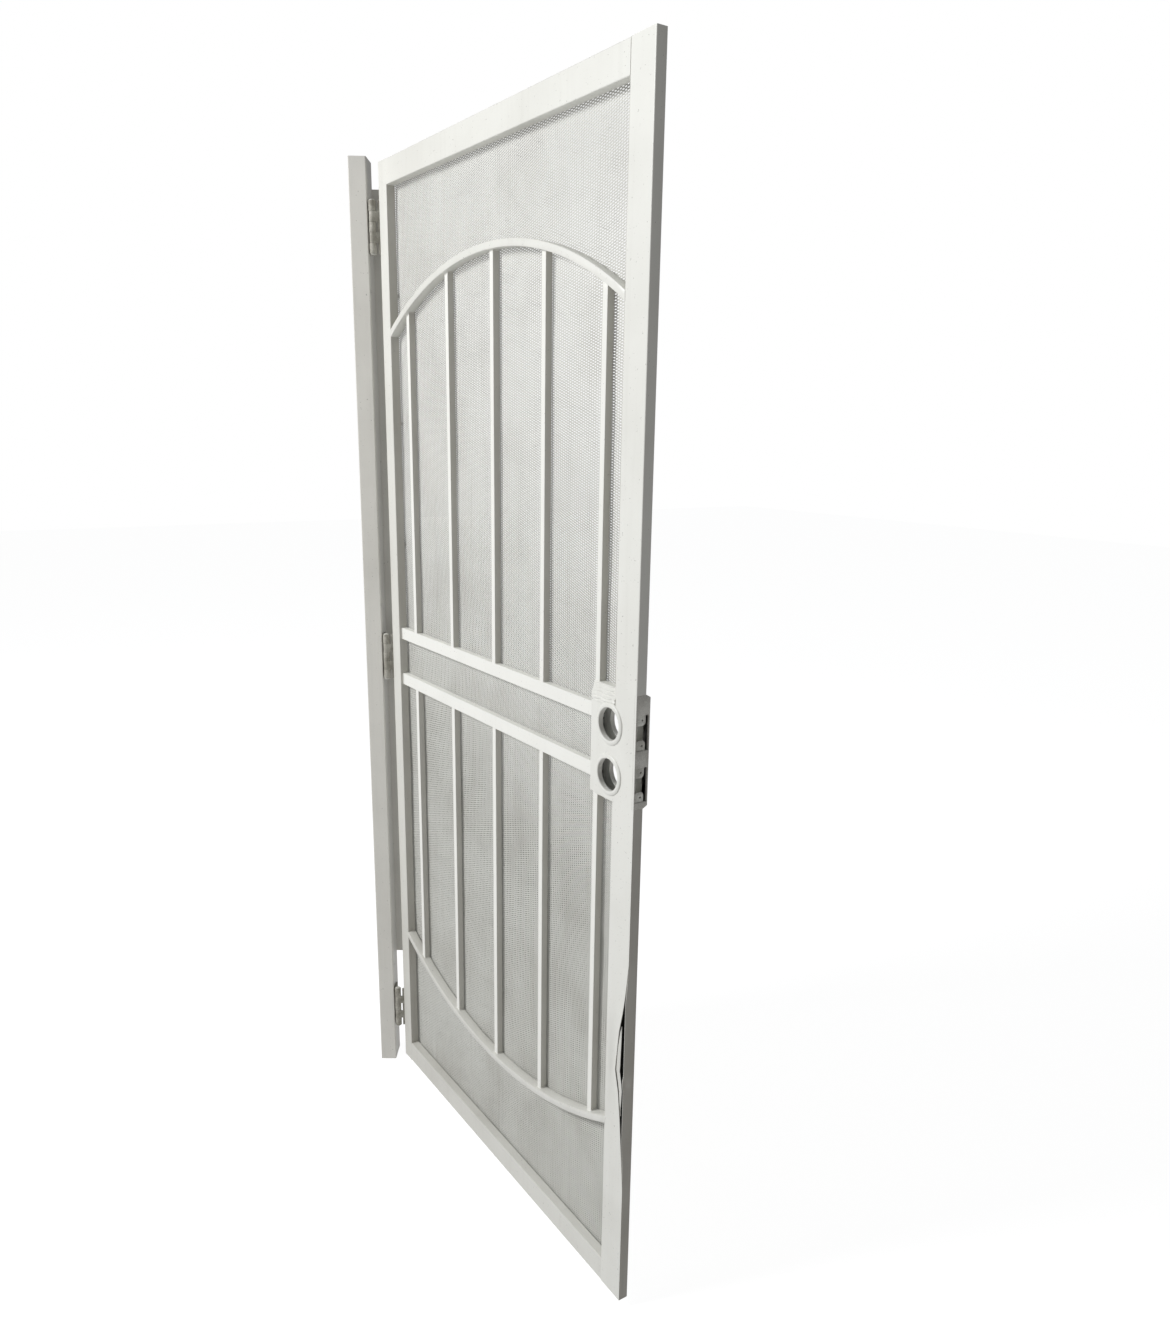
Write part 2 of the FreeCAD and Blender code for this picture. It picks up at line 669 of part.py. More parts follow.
for lock, height in (("deadbolt", "deadbolt_height"), ("latch", "latch_height")):
    bore_collar(f"{lock}_collar_front", height, True)
    bore_collar(f"{lock}_collar_back", height, False)

# ---------------------------------------------------------------- screen and its tack welds

SCREEN_EDGE = "Sizes.screen_edge"
SCREEN_BACK = f"({BACK_Y} + Sizes.screen_sheet)"


def screen():
    """Expanded metal sheet on the frame's back, cut away round the lock box."""
    body = new_body("screen")
    outline = new_sketch(body, "screen_outline", "XZ_Plane", f"-{SCREEN_BACK}")
    right = f"Sizes.leaf_width - {SCREEN_EDGE}"
    notch = f"{BOX_LEFT} - Sizes.screen_gap"
    add_loop(
        outline,
        [
            (SCREEN_EDGE, SCREEN_EDGE),
            (right, SCREEN_EDGE),
            (right, "Sizes.box_bottom - Sizes.screen_gap"),
            (notch, "Sizes.box_bottom - Sizes.screen_gap"),
            (notch, "Sizes.box_top + Sizes.screen_gap"),
            (right, "Sizes.box_top + Sizes.screen_gap"),
            (right, f"Sizes.leaf_height - {SCREEN_EDGE}"),
            (SCREEN_EDGE, f"Sizes.leaf_height - {SCREEN_EDGE}"),
        ],
    )
    pad(body, outline, "Sizes.screen_sheet")
    return keep(body, "screen", ON_LEAF)


screen()


def compound_of(label, pieces, place):
    """One sub-part that groups several separate, alike solids."""
    group = doc.addObject("Part::Compound", label)
    group.Links = pieces
    return keep(group, label, place)


def bound_box(name, position, lengths):
    """Block whose corner and edge lengths are sheet expressions."""
    block = doc.addObject("Part::Box", name)
    for axis, expression in zip(("x", "y", "z"), position):
        block.setExpression(f"Placement.Base.{axis}", expression)
    for edge, expression in zip(("Length", "Width", "Height"), lengths):
        block.setExpression(edge, expression)
    return block


TACK_ROWS = 7
TACK_COLUMNS = 4


def tack_welds():
    """Buttons of weld that fix the screen's margin to the back of the stiles and rails."""
    half_lap = "(Sizes.screen_edge + Sizes.hinge_stile_width) / 2"
    rise = f"Sizes.leaf_height / {TACK_ROWS + 1}"
    reach = f"Sizes.leaf_width / {TACK_COLUMNS + 1}"
    spots = []
    for step in range(1, TACK_ROWS + 1):
        spots.append((half_lap, f"{step} * {rise}"))
        beside_lock_box = step == (TACK_ROWS + 1) // 2
        if not beside_lock_box:
            spots.append((f"{LOCK_X} + Sizes.screen_edge / 2", f"{step} * {rise}"))
    for step in range(TACK_COLUMNS):
        across = f"{ARCH_MIDDLE} + {step - (TACK_COLUMNS - 1) / 2} * {reach}"
        spots.append((across, half_lap))
        spots.append((across, f"Sizes.leaf_height - {half_lap}"))
    welds = []
    for count, (across, up) in enumerate(spots):
        weld = doc.addObject("Part::Cylinder", f"tack_weld_{count}")
        weld.setExpression("Radius", "Sizes.tack_radius")
        weld.setExpression("Height", "Sizes.tack_height")
        weld.Placement = FreeCAD.Placement(FreeCAD.Vector(), FreeCAD.Rotation(FreeCAD.Vector(1, 0, 0), -90))
        weld.setExpression("Placement.Base.x", across)
        weld.setExpression("Placement.Base.y", SCREEN_BACK)
        weld.setExpression("Placement.Base.z", up)
        welds.append(weld)
    return compound_of("screen_tack_welds", welds, ON_LEAF)


tack_welds()

# ---------------------------------------------------------------- end caps of the stiles


def stile_end_caps():
    """Flat caps welded inside the open ends of the two stiles."""
    caps = []
    lock_inner = f"Sizes.lock_stile_width - 2 * {WALL}"
    ends = (
        ("hinge_low", WALL, WALL, f"Sizes.hinge_stile_width - 2 * {WALL}", "0"),
        ("hinge_high", WALL, WALL, f"Sizes.hinge_stile_width - 2 * {WALL}", "top"),
        ("lock_low", f"{LOCK_X} + {WALL}", "Sizes.face_sheet", lock_inner, "0"),
        ("lock_high", f"{LOCK_X} + {WALL}", WALL, lock_inner, "top"),
    )
    for name, left, front, width, level in ends:
        height = "Sizes.leaf_height - Sizes.cap_sheet" if level == "top" else level
        deep = f"{BACK_Y} - {WALL} - {front}"
        caps.append(bound_box(f"cap_{name}", (left, front, height), (width, deep, "Sizes.cap_sheet")))
    return compound_of("stile_end_caps", caps, ON_LEAF)


stile_end_caps()

# ---------------------------------------------------------------- jamb, in its own frame

JAMB_SIDE = "Sizes.jamb_width / 2"
JAMB_FRONT = "-Sizes.jamb_depth"


def jamb_post():
    """Rectangular tube with three holes right through it for the fixing screws."""
    body = new_body("jamb_post")
    section = new_sketch(body, "jamb_post_section", "XY_Plane", "0")
    add_rectangle(section, f"-{JAMB_SIDE}", JAMB_FRONT, JAMB_SIDE, "0")
    add_rectangle(
        section,
        f"-{JAMB_SIDE} + Sizes.jamb_wall",
        f"{JAMB_FRONT} + Sizes.jamb_wall",
        f"{JAMB_SIDE} - Sizes.jamb_wall",
        "-Sizes.jamb_wall",
    )
    tube = pad(body, section, "Sizes.jamb_height")
    doc.recompute()
    round_edges(body, tube, corner_edges(tube.Shape, Z_AXIS), "Sizes.tube_corner")
    holes = new_sketch(body, "jamb_post_holes", "YZ_Plane", JAMB_SIDE)
    for height in JAMB_SCREW_HEIGHTS:
        add_circle(
            holes,
            f"{JAMB_FRONT} + Sizes.jamb_screw_inset",
            f"{height} + Sizes.jamb_drop",
            "Sizes.jamb_screw_radius",
        )
    pocket(body, holes, None, False)
    return keep(body, "jamb_post", ON_JAMB)


jamb_post()

flange = bound_box(
    "jamb_rear_flange",
    (JAMB_SIDE, "-Sizes.flange_thick", "Sizes.flange_bottom_gap"),
    (
        "Sizes.flange_width",
        "Sizes.flange_thick",
        "Sizes.jamb_height - Sizes.flange_top_gap - Sizes.flange_bottom_gap",
    ),
)
compound_of("jamb_flange", [flange], ON_JAMB)


def jamb_end_caps():
    """Flat caps welded inside the two open ends of the jamb."""
    caps = []
    for name, height in (("low", "0"), ("high", "Sizes.jamb_height - Sizes.cap_sheet")):
        corner = (f"-{JAMB_SIDE} + Sizes.jamb_wall", f"{JAMB_FRONT} + Sizes.jamb_wall", height)
        lengths = (
            "Sizes.jamb_width - 2 * Sizes.jamb_wall",
            "Sizes.jamb_depth - 2 * Sizes.jamb_wall",
            "Sizes.cap_sheet",
        )
        caps.append(bound_box(f"jamb_cap_{name}", corner, lengths))
    return compound_of("jamb_end_caps", caps, ON_JAMB)


jamb_end_caps()

# ---------------------------------------------------------------- hinges

BARREL_LENGTH = f"{KNUCKLES} * Sizes.knuckle_pitch"


def hinge_leaf(label, side, knuckles, place):
    """One leaf of a butt hinge: a plate, the knuckles it carries and the bore for the pin. side is
    -1 for the plate on the jamb and 1 for the plate on the door."""
    plate_left = "Sizes.axis_left - Sizes.hinge_plate" if side > 0 else "-Sizes.axis_left"
    plate = bound_box(
        label + "_plate",
        (plate_left, "Sizes.plate_start", "0"),
        ("Sizes.hinge_plate", "Sizes.hinge_reach - Sizes.plate_start", BARREL_LENGTH),
    )
    tab_thick = "Sizes.hinge_plate - Sizes.tab_relief"
    tab_left = plate_left if side > 0 else "-Sizes.axis_left + Sizes.tab_relief"
    pieces = [plate]
    for knuckle in knuckles:
        foot = f"{knuckle} * Sizes.knuckle_pitch + Sizes.knuckle_gap / 2"
        tall = "Sizes.knuckle_pitch - Sizes.knuckle_gap"
        tab = bound_box(
            f"{label}_tab_{knuckle}", (tab_left, "0", foot), (tab_thick, "Sizes.plate_start", tall)
        )
        barrel = doc.addObject("Part::Cylinder", f"{label}_barrel_{knuckle}")
        barrel.setExpression("Radius", "Sizes.barrel_radius")
        barrel.setExpression("Height", tall)
        barrel.setExpression("Placement.Base.z", foot)
        pieces.extend([tab, barrel])
    solid = doc.addObject("Part::MultiFuse", label + "_solid")
    solid.Shapes = pieces
    bore = doc.addObject("Part::Cylinder", label + "_bore")
    bore.setExpression("Radius", "Sizes.pin_radius + Sizes.pin_clearance")
    bore.setExpression("Height", BARREL_LENGTH)
    bored = doc.addObject("Part::Cut", label)
    bored.Base = solid
    bored.Tool = bore
    return keep(bored, label, place)


def hinge_pin(label, place):
    """Hinge pin: a shaft with a button head at each end of the barrel."""
    body = new_body(label)
    profile = new_sketch(body, label + "_profile", "XZ_Plane", "0")
    head = "Sizes.pin_head_height"
    low = "-Sizes.pin_end_play"
    high = f"{BARREL_LENGTH} + Sizes.pin_end_play"
    chamfer = "Sizes.pin_head_radius - Sizes.pin_head_chamfer"
    add_loop(
        profile,
        [
            ("0", f"{low} - {head}"),
            (chamfer, f"{low} - {head}"),
            ("Sizes.pin_head_radius", f"{low} - {head} / 2"),
            ("Sizes.pin_head_radius", low),
            ("Sizes.pin_radius", low),
            ("Sizes.pin_radius", high),
            ("Sizes.pin_head_radius", high),
            ("Sizes.pin_head_radius", f"{high} + {head} / 2"),
            (chamfer, f"{high} + {head}"),
            ("0", f"{high} + {head}"),
        ],
    )
    turn = body.newObject("PartDesign::Revolution", label + "_turn")
    turn.Profile = profile
    turn.ReferenceAxis = (profile, ["V_Axis"])
    turn.Angle = 360
    return keep(body, label, place)


JAMB_KNUCKLES = (0, 2, 4)
DOOR_KNUCKLES = (1, 3)

for level, middle in HINGE_MIDDLES.items():
    foot = middle - KNUCKLES * size("knuckle_pitch") / 2
    hinge_leaf(f"hinge_{level}_jamb_leaf", -1, JAMB_KNUCKLES, on_hinge(foot, True))
    hinge_leaf(f"hinge_{level}_door_leaf", 1, DOOR_KNUCKLES, on_hinge(foot, False))
    hinge_pin(f"hinge_{level}_pin", on_hinge(foot, True))

# ---------------------------------------------------------------- checks and export

doc.recompute()

for item in doc.Objects:
    if "Invalid" in item.State or "Error" in item.State:
        raise RuntimeError(f"{item.Label} failed: {item.State}")
for part in subparts:
    if part.Shape.isNull() or not part.Shape.isValid():
        raise RuntimeError(f"{part.Label} has no valid shape")

os.makedirs("parts", exist_ok=True)
for part in subparts:
    part.Shape.exportStep(f"parts/{part.Label}.step")
    box = part.Shape.BoundBox
    print(
        f"{part.Label:26s} solids {len(part.Shape.Solids):2d}  volume {part.Shape.Volume:11.1f}"
        f"  X {box.XMin:8.1f} {box.XMax:8.1f}  Y {box.YMin:7.1f} {box.YMax:7.1f}"
        f"  Z {box.ZMin:7.1f} {box.ZMax:7.1f}"
    )
print(f"{len(subparts)} sub-parts; hinge axis at X {HINGE_AXIS.x:.3f} Y {HINGE_AXIS.y:.3f}")
print(f"leaf origin at X {LEAF_ORIGIN.x:.3f} Y {LEAF_ORIGIN.y:.3f} Z {LEAF_ORIGIN.z:.3f}")
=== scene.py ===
# %% [markdown]
# # A steel security screen door
# The door is a welded leaf of white painted tube. Arched bars fill it, an expanded metal screen
# covers its back, and a box for two locks sits on the side away from the hinges. It hangs open on
# three butt hinges from its own jamb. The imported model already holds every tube, plate and hinge
# at its size, so it is loaded first and never moved, and everything after that is measured from it.

# %% Load the frame
import math

import bmesh
import bpy
from mathutils import Matrix, Vector


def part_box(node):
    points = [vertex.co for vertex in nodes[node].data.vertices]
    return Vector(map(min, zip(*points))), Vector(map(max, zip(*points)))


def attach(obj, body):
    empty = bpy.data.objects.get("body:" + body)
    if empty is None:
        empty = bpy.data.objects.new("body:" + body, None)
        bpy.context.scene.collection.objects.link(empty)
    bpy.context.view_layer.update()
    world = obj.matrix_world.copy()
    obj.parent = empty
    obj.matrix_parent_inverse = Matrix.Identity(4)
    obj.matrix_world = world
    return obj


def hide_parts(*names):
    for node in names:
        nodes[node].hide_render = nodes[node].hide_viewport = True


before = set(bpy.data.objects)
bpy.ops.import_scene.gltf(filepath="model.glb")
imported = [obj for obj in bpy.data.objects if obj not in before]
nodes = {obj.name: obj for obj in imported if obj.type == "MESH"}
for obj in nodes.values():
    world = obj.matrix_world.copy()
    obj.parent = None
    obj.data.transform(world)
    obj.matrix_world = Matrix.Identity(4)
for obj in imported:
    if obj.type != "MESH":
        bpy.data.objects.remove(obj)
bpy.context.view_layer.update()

# %% [markdown]
# ## Where things are
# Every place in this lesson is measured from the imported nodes, so nothing has to be fitted by eye.
# The leaf's outside faces -Y and its lock edge is towards +X.

# %% Places on the leaf
MM = 0.001
CLOSE = 0.01 * MM  # points nearer than this are one
stile_low, stile_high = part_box("hinge_stile")
lock_low, lock_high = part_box("lock_stile_upper")
box_low, box_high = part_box("lock_box_front_plate")
back_low, back_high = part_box("lock_box_back_plate")
bar_low, bar_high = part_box("upper_bar_1")

FRONT = stile_low.y
BACK = stile_high.y
FOOT = stile_low.z
TOP = stile_high.z
LOCK_IN = lock_low.x
LOCK_OUT = lock_high.x
BAR_FRONT = bar_low.y
print(f"leaf {LOCK_OUT - stile_low.x:.4f} wide, {TOP - FOOT:.4f} high, {BACK - FRONT:.4f} deep")

# %% [markdown]
# ## Camera
# The viewer stands close to the lock edge, a little above the middle of the door, with a wide lens,
# so the near stile towers over the far one. The camera's turn is given by its right-hand and upward
# directions, which are plain unit vectors in the door's own frame.

# %% Camera
CAMERA_FROM_LEAF = Vector((2.1373, -0.9276, 1.5152))
CAMERA_RIGHT = Vector((0.55890, 0.82908, 0.01632))
CAMERA_UP = Vector((-0.21960, 0.12900, 0.96702))
LENS = 27.82  # millimetres, on Blender's 36 mm sensor
SHIFT_UP = 0.025

camera_data = bpy.data.cameras.new("camera")
camera_data.lens = LENS
camera_data.shift_y = SHIFT_UP
camera = bpy.data.objects.new("camera", camera_data)
bpy.context.scene.collection.objects.link(camera)
turn = Matrix((CAMERA_RIGHT, CAMERA_UP, CAMERA_RIGHT.cross(CAMERA_UP))).transposed()
camera_place = Vector((stile_low.x, FRONT, FOOT)) + CAMERA_FROM_LEAF
camera.matrix_world = Matrix.Translation(camera_place) @ turn.to_4x4()
bpy.context.scene.camera = camera
print("camera at", tuple(round(v, 3) for v in camera.location))

# %% [markdown]
# ## Helpers for modelling
# Operators act on whatever is selected, so each helper starts by selecting one piece alone. Faces
# and edges are picked by their place, which reads better than index numbers.

# %% Selecting and editing
def choose(piece):
    """Select one piece alone."""
    for other in bpy.context.selected_objects:
        other.select_set(False)
    piece.select_set(True)
    bpy.context.view_layer.objects.active = piece


def open_edit(piece):
    """Go into edit mode with nothing selected."""
    choose(piece)
    bpy.ops.object.mode_set(mode="EDIT")
    bpy.ops.mesh.select_all(action="DESELECT")


def close_edit():
    """Go back to object mode."""
    bpy.ops.object.mode_set(mode="OBJECT")


def pick(piece, kind, test):
    """Select the vertices, edges or faces whose middle passes a test, and say how many."""
    bpy.ops.mesh.select_mode(type=kind)
    shape = bmesh.from_edit_mesh(piece.data)
    count = 0
    if kind == "VERT":
        items = [(vertex, vertex.co) for vertex in shape.verts]
    elif kind == "EDGE":
        items = [(edge, (edge.verts[0].co + edge.verts[1].co) / 2) for edge in shape.edges]
    else:
        items = [(face, face.calc_center_median()) for face in shape.faces]
    for item, middle in items:
        if test(item, middle):
            item.select_set(True)
            count += 1
    shape.select_flush_mode()
    bmesh.update_edit_mesh(piece.data)
    return count


def modify(piece, kind, **settings):
    """Add one modifier and apply it."""
    choose(piece)
    modifier = piece.modifiers.new(kind.lower(), kind)
    for name, value in settings.items():
        setattr(modifier, name, value)
    bpy.ops.object.modifier_apply(modifier=modifier.name)


def settle(piece, name):
    """Name a piece and put its place, turn and scale into its mesh."""
    choose(piece)
    piece.name = name
    piece.data.name = name
    bpy.ops.object.transform_apply(location=True, rotation=True, scale=True)
    return piece


def smooth(piece, angle=35):
    """Shade a piece smooth, except over edges sharper than an angle in degrees."""
    choose(piece)
    bpy.ops.object.shade_smooth_by_angle(angle=math.radians(angle))


def block(name, low, high):
    """Cube primitive between two corners."""
    middle = (Vector(low) + Vector(high)) / 2
    bpy.ops.mesh.primitive_cube_add(size=1, location=middle)
    piece = bpy.context.object
    piece.scale = Vector(high) - Vector(low)
    return settle(piece, name)


def along(edge, axis):
    """True for an edge that runs along an axis."""
    line = edge.verts[1].co - edge.verts[0].co
    return abs(line[axis]) > 0.999 * line.length


def join(pieces, name):
    """Several pieces as one."""
    choose(pieces[0])
    for piece in pieces[1:]:
        piece.select_set(True)
    bpy.ops.object.join()
    return settle(bpy.context.object, name)


# %% [markdown]
# A finished piece needs three things besides its shape: the body that it rides on, its finish, and
# the imported nodes that it stands for.

# %% Fitting a piece to the door
def dress(piece, *materials):
    """Put finishes in a new piece's slots, before Solidify hands them out to its two skins."""
    for material in materials:
        piece.data.materials.append(material)


def fit(piece, body, slot, material, *stands_for):
    """Give a finished piece its finish, if it has none yet, and its body."""
    if not any(piece.data.materials):
        piece.data.materials.clear()
        piece.data.materials.append(material)
    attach(piece, body)
    if stands_for:
        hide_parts(*stands_for)
    print(f"{piece.name}: {len(piece.data.polygons)} faces on {body}")
    return piece


def softened(node, name, width, segments=2):
    """A node's shape and finish with its sharp edges rounded, from a merged copy of its mesh."""
    source = nodes[node]
    piece = bpy.data.objects.new(name, source.data.copy())
    piece.data.name = name
    bpy.context.scene.collection.objects.link(piece)
    open_edit(piece)
    bpy.ops.mesh.select_all(action="SELECT")
    bpy.ops.mesh.remove_doubles(threshold=CLOSE)
    bpy.ops.mesh.dissolve_limited(angle_limit=math.radians(1))
    close_edit()
    modify(
        piece,
        "BEVEL",
        width=width,
        segments=segments,
        limit_method="ANGLE",
        angle_limit=math.radians(40),
    )
    smooth(piece)
    return piece


# %% [markdown]
# ## Finishes
# A finish is a small network of nodes. All of it reads Object coordinates, which for these pieces
# are metres in the door's own frame, so a noise of scale 400 has grains of about 2.5 mm. Colour
# comes from mixing clean paint with a dusty grey, for its dusting and, on some faces, as painted
# shade. Roughness follows that mix, and a fine bump gives the orange peel of sprayed powder.

# %% Node helpers
class Finish:
    """A material under construction: its nodes, its links and its coordinates."""

    def __init__(self, name):
        self.material = bpy.data.materials.new(name)
        self.material.use_nodes = True
        self.tree = self.material.node_tree
        self.shader = self.tree.nodes["Principled BSDF"]
        self.place = self.add("ShaderNodeTexCoord")

    def add(self, kind, **settings):
        """A new node with some of its settings."""
        node = self.tree.nodes.new(kind)
        for name, value in settings.items():
            setattr(node, name, value)
        return node

    def join(self, output, target):
        """A link from one node to another."""
        self.tree.links.new(output, target)

    def noise(self, scale, detail=2, stretch=(1, 1, 1)):
        """Noise between 0 and 1, in metres of the door's frame."""
        mapping = self.add("ShaderNodeMapping")
        mapping.inputs["Scale"].default_value = stretch
        noise = self.add("ShaderNodeTexNoise")
        noise.inputs["Scale"].default_value = scale
        noise.inputs["Detail"].default_value = detail
        self.join(self.place.outputs["Object"], mapping.inputs["Vector"])
        self.join(mapping.outputs["Vector"], noise.inputs["Vector"])
        return noise.outputs["Fac"]

    def spread(self, value, low, high, to_low=0, to_high=1):
        """Stretch a value from one range to another, held at both ends."""
        ranges = self.add("ShaderNodeMapRange")
        ranges.inputs["From Min"].default_value = low
        ranges.inputs["From Max"].default_value = high
        ranges.inputs["To Min"].default_value = to_low
        ranges.inputs["To Max"].default_value = to_high
        self.join(value, ranges.inputs["Value"])
        return ranges.outputs["Result"]

    def combine(self, first, second, how="MULTIPLY"):
        """Two values added, multiplied or compared."""
        node = self.add("ShaderNodeMath", operation=how)
        for socket, value in zip(node.inputs, (first, second)):
            if isinstance(value, (int, float)):
                socket.default_value = value
            else:
                self.join(value, socket)
        return node.outputs["Value"]

    def blend(self, factor, first, second):
        """Mix two colours. Each may be a colour or another node's output."""
        mix = self.add("ShaderNodeMix", data_type="RGBA")
        self.join(factor, mix.inputs["Factor"])
        for socket, value in ((mix.inputs[6], first), (mix.inputs[7], second)):
            if isinstance(value, tuple):
                socket.default_value = (*value, 1)
            else:
                self.join(value, socket)
        return mix.outputs[2]

    def axis(self, output, letter):
        """One coordinate of a vector output."""
        split = self.add("ShaderNodeSeparateXYZ")
        self.join(self.place.outputs[output], split.inputs["Vector"])
        return split.outputs[letter]

    def bump(self, height, strength, distance):
        """A bump from a height, on the whole finish."""
        node = self.add("ShaderNodeBump")
        node.inputs["Strength"].default_value = strength
        node.inputs["Distance"].default_value = distance
        self.join(height, node.inputs["Height"])
        self.join(node.outputs["Normal"], self.shader.inputs["Normal"])


# %% [markdown]
# ### Powder-coated steel
# The leaf is sprayed a warm white. Dust lies in soft patches and runs down in faint streaks. Faces
# that look towards the lock edge are darkened to the same grey as painted shade, because little
# light reaches them. The paint also darkens towards the hinges and the foot, partly as dusting and
# partly as painted shade for light that falls off there. A few darker specks are chips.

# %% Powder coat
def powder_coat(
    name, paint, dust_and_shade_colour, dusty=0.5, rough=0.36, grain=420, side_shade=0.0, corner_dust_and_shade=0.0
):
    """Sprayed paint with dusty patches and streaks, painted shade, small chips and an orange peel."""
    finish = Finish(name)
    patches = finish.spread(finish.noise(7, 4), 0.42, 0.72)
    streaks = finish.spread(finish.noise(60, 3, (1, 1, 0.04)), 0.52, 0.78)
    specks = finish.spread(finish.noise(260, 2), 0.70, 0.76)
    streaks = finish.combine(streaks, dusty * 0.6)
    dust_and_shade = finish.combine(finish.combine(patches, dusty), streaks, "ADD")
    # Faces that look towards the lock edge are darkened here: painted shade.
    if side_shade:
        shaded_sides = finish.spread(finish.axis("Normal", "X"), 0.5, 0.9, 0, side_shade)
        dust_and_shade = finish.combine(dust_and_shade, shaded_sides, "ADD")
    # Darker towards the hinges and the foot: partly dusting, partly painted shade for light that
    # falls off there.
    if corner_dust_and_shade:
        towards_hinges = finish.spread(finish.axis("Object", "X"), 0.9, 0.05, 0, corner_dust_and_shade)
        towards_foot = finish.spread(finish.axis("Object", "Z"), 1.0, 0.0, 0, 0.8 * corner_dust_and_shade)
        dust_and_shade = finish.combine(finish.combine(dust_and_shade, towards_hinges, "ADD"), towards_foot, "ADD")
    colour = finish.blend(dust_and_shade, paint, dust_and_shade_colour)
    chip = tuple(0.45 * channel for channel in dust_and_shade_colour)
    colour = finish.blend(finish.combine(specks, 0.5), colour, chip)
    finish.join(colour, finish.shader.inputs["Base Color"])
    finish.join(finish.spread(dust_and_shade, 0, 1, rough, rough + 0.3), finish.shader.inputs["Roughness"])
    peel = finish.combine(finish.noise(grain, 2), finish.combine(dust_and_shade, 0.3), "ADD")
    finish.bump(peel, 0.25, 0.25 * MM)
    return finish.material


WHITE = (0.86, 0.86, 0.815)
JAMB_WHITE = (0.80, 0.785, 0.735)
# This grey serves for dusting and also as the colour of painted shade.
DUST_AND_SHADE = (0.40, 0.38, 0.335)
BAR_WHITE = (0.93, 0.93, 0.885)
# The screen's white is darker than the leaf's, and its patches stronger: painted shade for the shade
# among its strands and the shadows on the sheet, with some dusting.
SCREEN_SHADED_WHITE = (0.69, 0.69, 0.65)
# The side settings below darken faces towards the lock edge: painted shade.
leaf_paint = powder_coat("leaf_paint", WHITE, DUST_AND_SHADE, 0.12, side_shade=0.4, corner_dust_and_shade=0.22)
stile_paint = powder_coat("stile_paint", WHITE, DUST_AND_SHADE, 0.12, side_shade=0.8, corner_dust_and_shade=0.1)
jamb_paint = powder_coat("jamb_paint", JAMB_WHITE, DUST_AND_SHADE, 0.16)
bar_paint = powder_coat("bar_paint", BAR_WHITE, DUST_AND_SHADE, 0.06, side_shade=0.6)
screen_paint = powder_coat("screen_paint", SCREEN_SHADED_WHITE, DUST_AND_SHADE, 0.3, rough=0.5, grain=900)
paints = (leaf_paint, stile_paint, jamb_paint, bar_paint, screen_paint)
print("paints:", [paint.name for paint in paints])

# %% [markdown]
# ### Galvanised steel inside the lock box
# Bare zinc shows as large, angular crystals of slightly different greys. A Voronoi texture gives
# each crystal its own tone, and the same tone shifts its gloss.

# %% Galvanised steel
def galvanised(name):
    """Bare zinc with its spangle."""
    finish = Finish(name)
    crystals = finish.add("ShaderNodeTexVoronoi")
    crystals.inputs["Scale"].default_value = 160  # crystals of about 6 mm
    finish.join(finish.place.outputs["Object"], crystals.inputs["Vector"])
    grey = finish.add("ShaderNodeRGBToBW")
    finish.join(crystals.outputs["Color"], grey.inputs["Color"])
    tone = finish.spread(grey.outputs["Val"], 0.1, 0.9)
    colour = finish.blend(tone, (0.33, 0.34, 0.35), (0.62, 0.63, 0.64))
    finish.join(colour, finish.shader.inputs["Base Color"])
    finish.join(finish.spread(tone, 0, 1, 0.22, 0.42), finish.shader.inputs["Roughness"])
    finish.shader.inputs["Metallic"].default_value = 0.9
    finish.bump(finish.noise(90, 3), 0.15, 0.4 * MM)
    return finish.material


zinc = galvanised("galvanised_steel")

# %% [markdown]
# ### Worn steel
# The hinges were painted with the door, then wore and took up grease and grime in every joint. The
# grime lies in blotches, and a bump keeps the surface uneven.

# %% Worn steel
def worn_steel(name, light, dark, rough=0.55):
    """Old paint over steel, with greasy grime in blotches."""
    finish = Finish(name)
    blotches = finish.spread(finish.noise(55, 5), 0.38, 0.66)
    grit = finish.spread(finish.noise(520, 3), 0.35, 0.75)
    colour = finish.blend(blotches, light, dark)
    grease = tuple(0.35 * channel for channel in dark)
    colour = finish.blend(finish.combine(grit, 0.4), colour, grease)
    finish.join(colour, finish.shader.inputs["Base Color"])
    roughness = finish.spread(blotches, 0, 1, rough, rough + 0.25)
    finish.join(roughness, finish.shader.inputs["Roughness"])
    finish.bump(finish.combine(finish.noise(300, 4), blotches, "ADD"), 0.4, 0.3 * MM)
    return finish.material


hinge_finish = worn_steel("hinge_finish", (0.50, 0.485, 0.43), (0.30, 0.285, 0.24))
edge_finish = worn_steel("edge_finish", (0.70, 0.685, 0.635), (0.56, 0.545, 0.495))
# Near black: painted shade for the inside of the stile's channel.
hollow_shade = worn_steel("hollow_shade", (0.10, 0.095, 0.088), (0.035, 0.033, 0.03), 0.7)
tab_finish_and_pin_highlight = worn_steel("tab_finish_and_pin_highlight", (0.80, 0.80, 0.74), (0.52, 0.51, 0.46), 0.6)

# %% [markdown]
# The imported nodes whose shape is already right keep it, and only get these finishes in their slots.

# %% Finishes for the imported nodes
def refinish(node, material):
    """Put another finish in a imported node's slot."""
    piece = nodes[node]
    piece.data.materials.clear()
    piece.data.materials.append(material)


for node in nodes:
    if node.startswith("jamb"):
        refinish(node, jamb_paint)
    elif node.startswith("hinge_") and node != "hinge_stile":
        refinish(node, hinge_finish)
    elif "_bar_" in node or "_lock_rail" in node:
        refinish(node, bar_paint)
    else:
        refinish(node, leaf_paint)
# The hinge pins take the pale tab finish, a painted highlight on their heads.
for place in ("bottom", "middle", "top"):
    refinish(f"hinge_{place}_pin", tab_finish_and_pin_highlight)
refinish("lock_box_wall", zinc)
print("finished", len(nodes), "packed nodes")

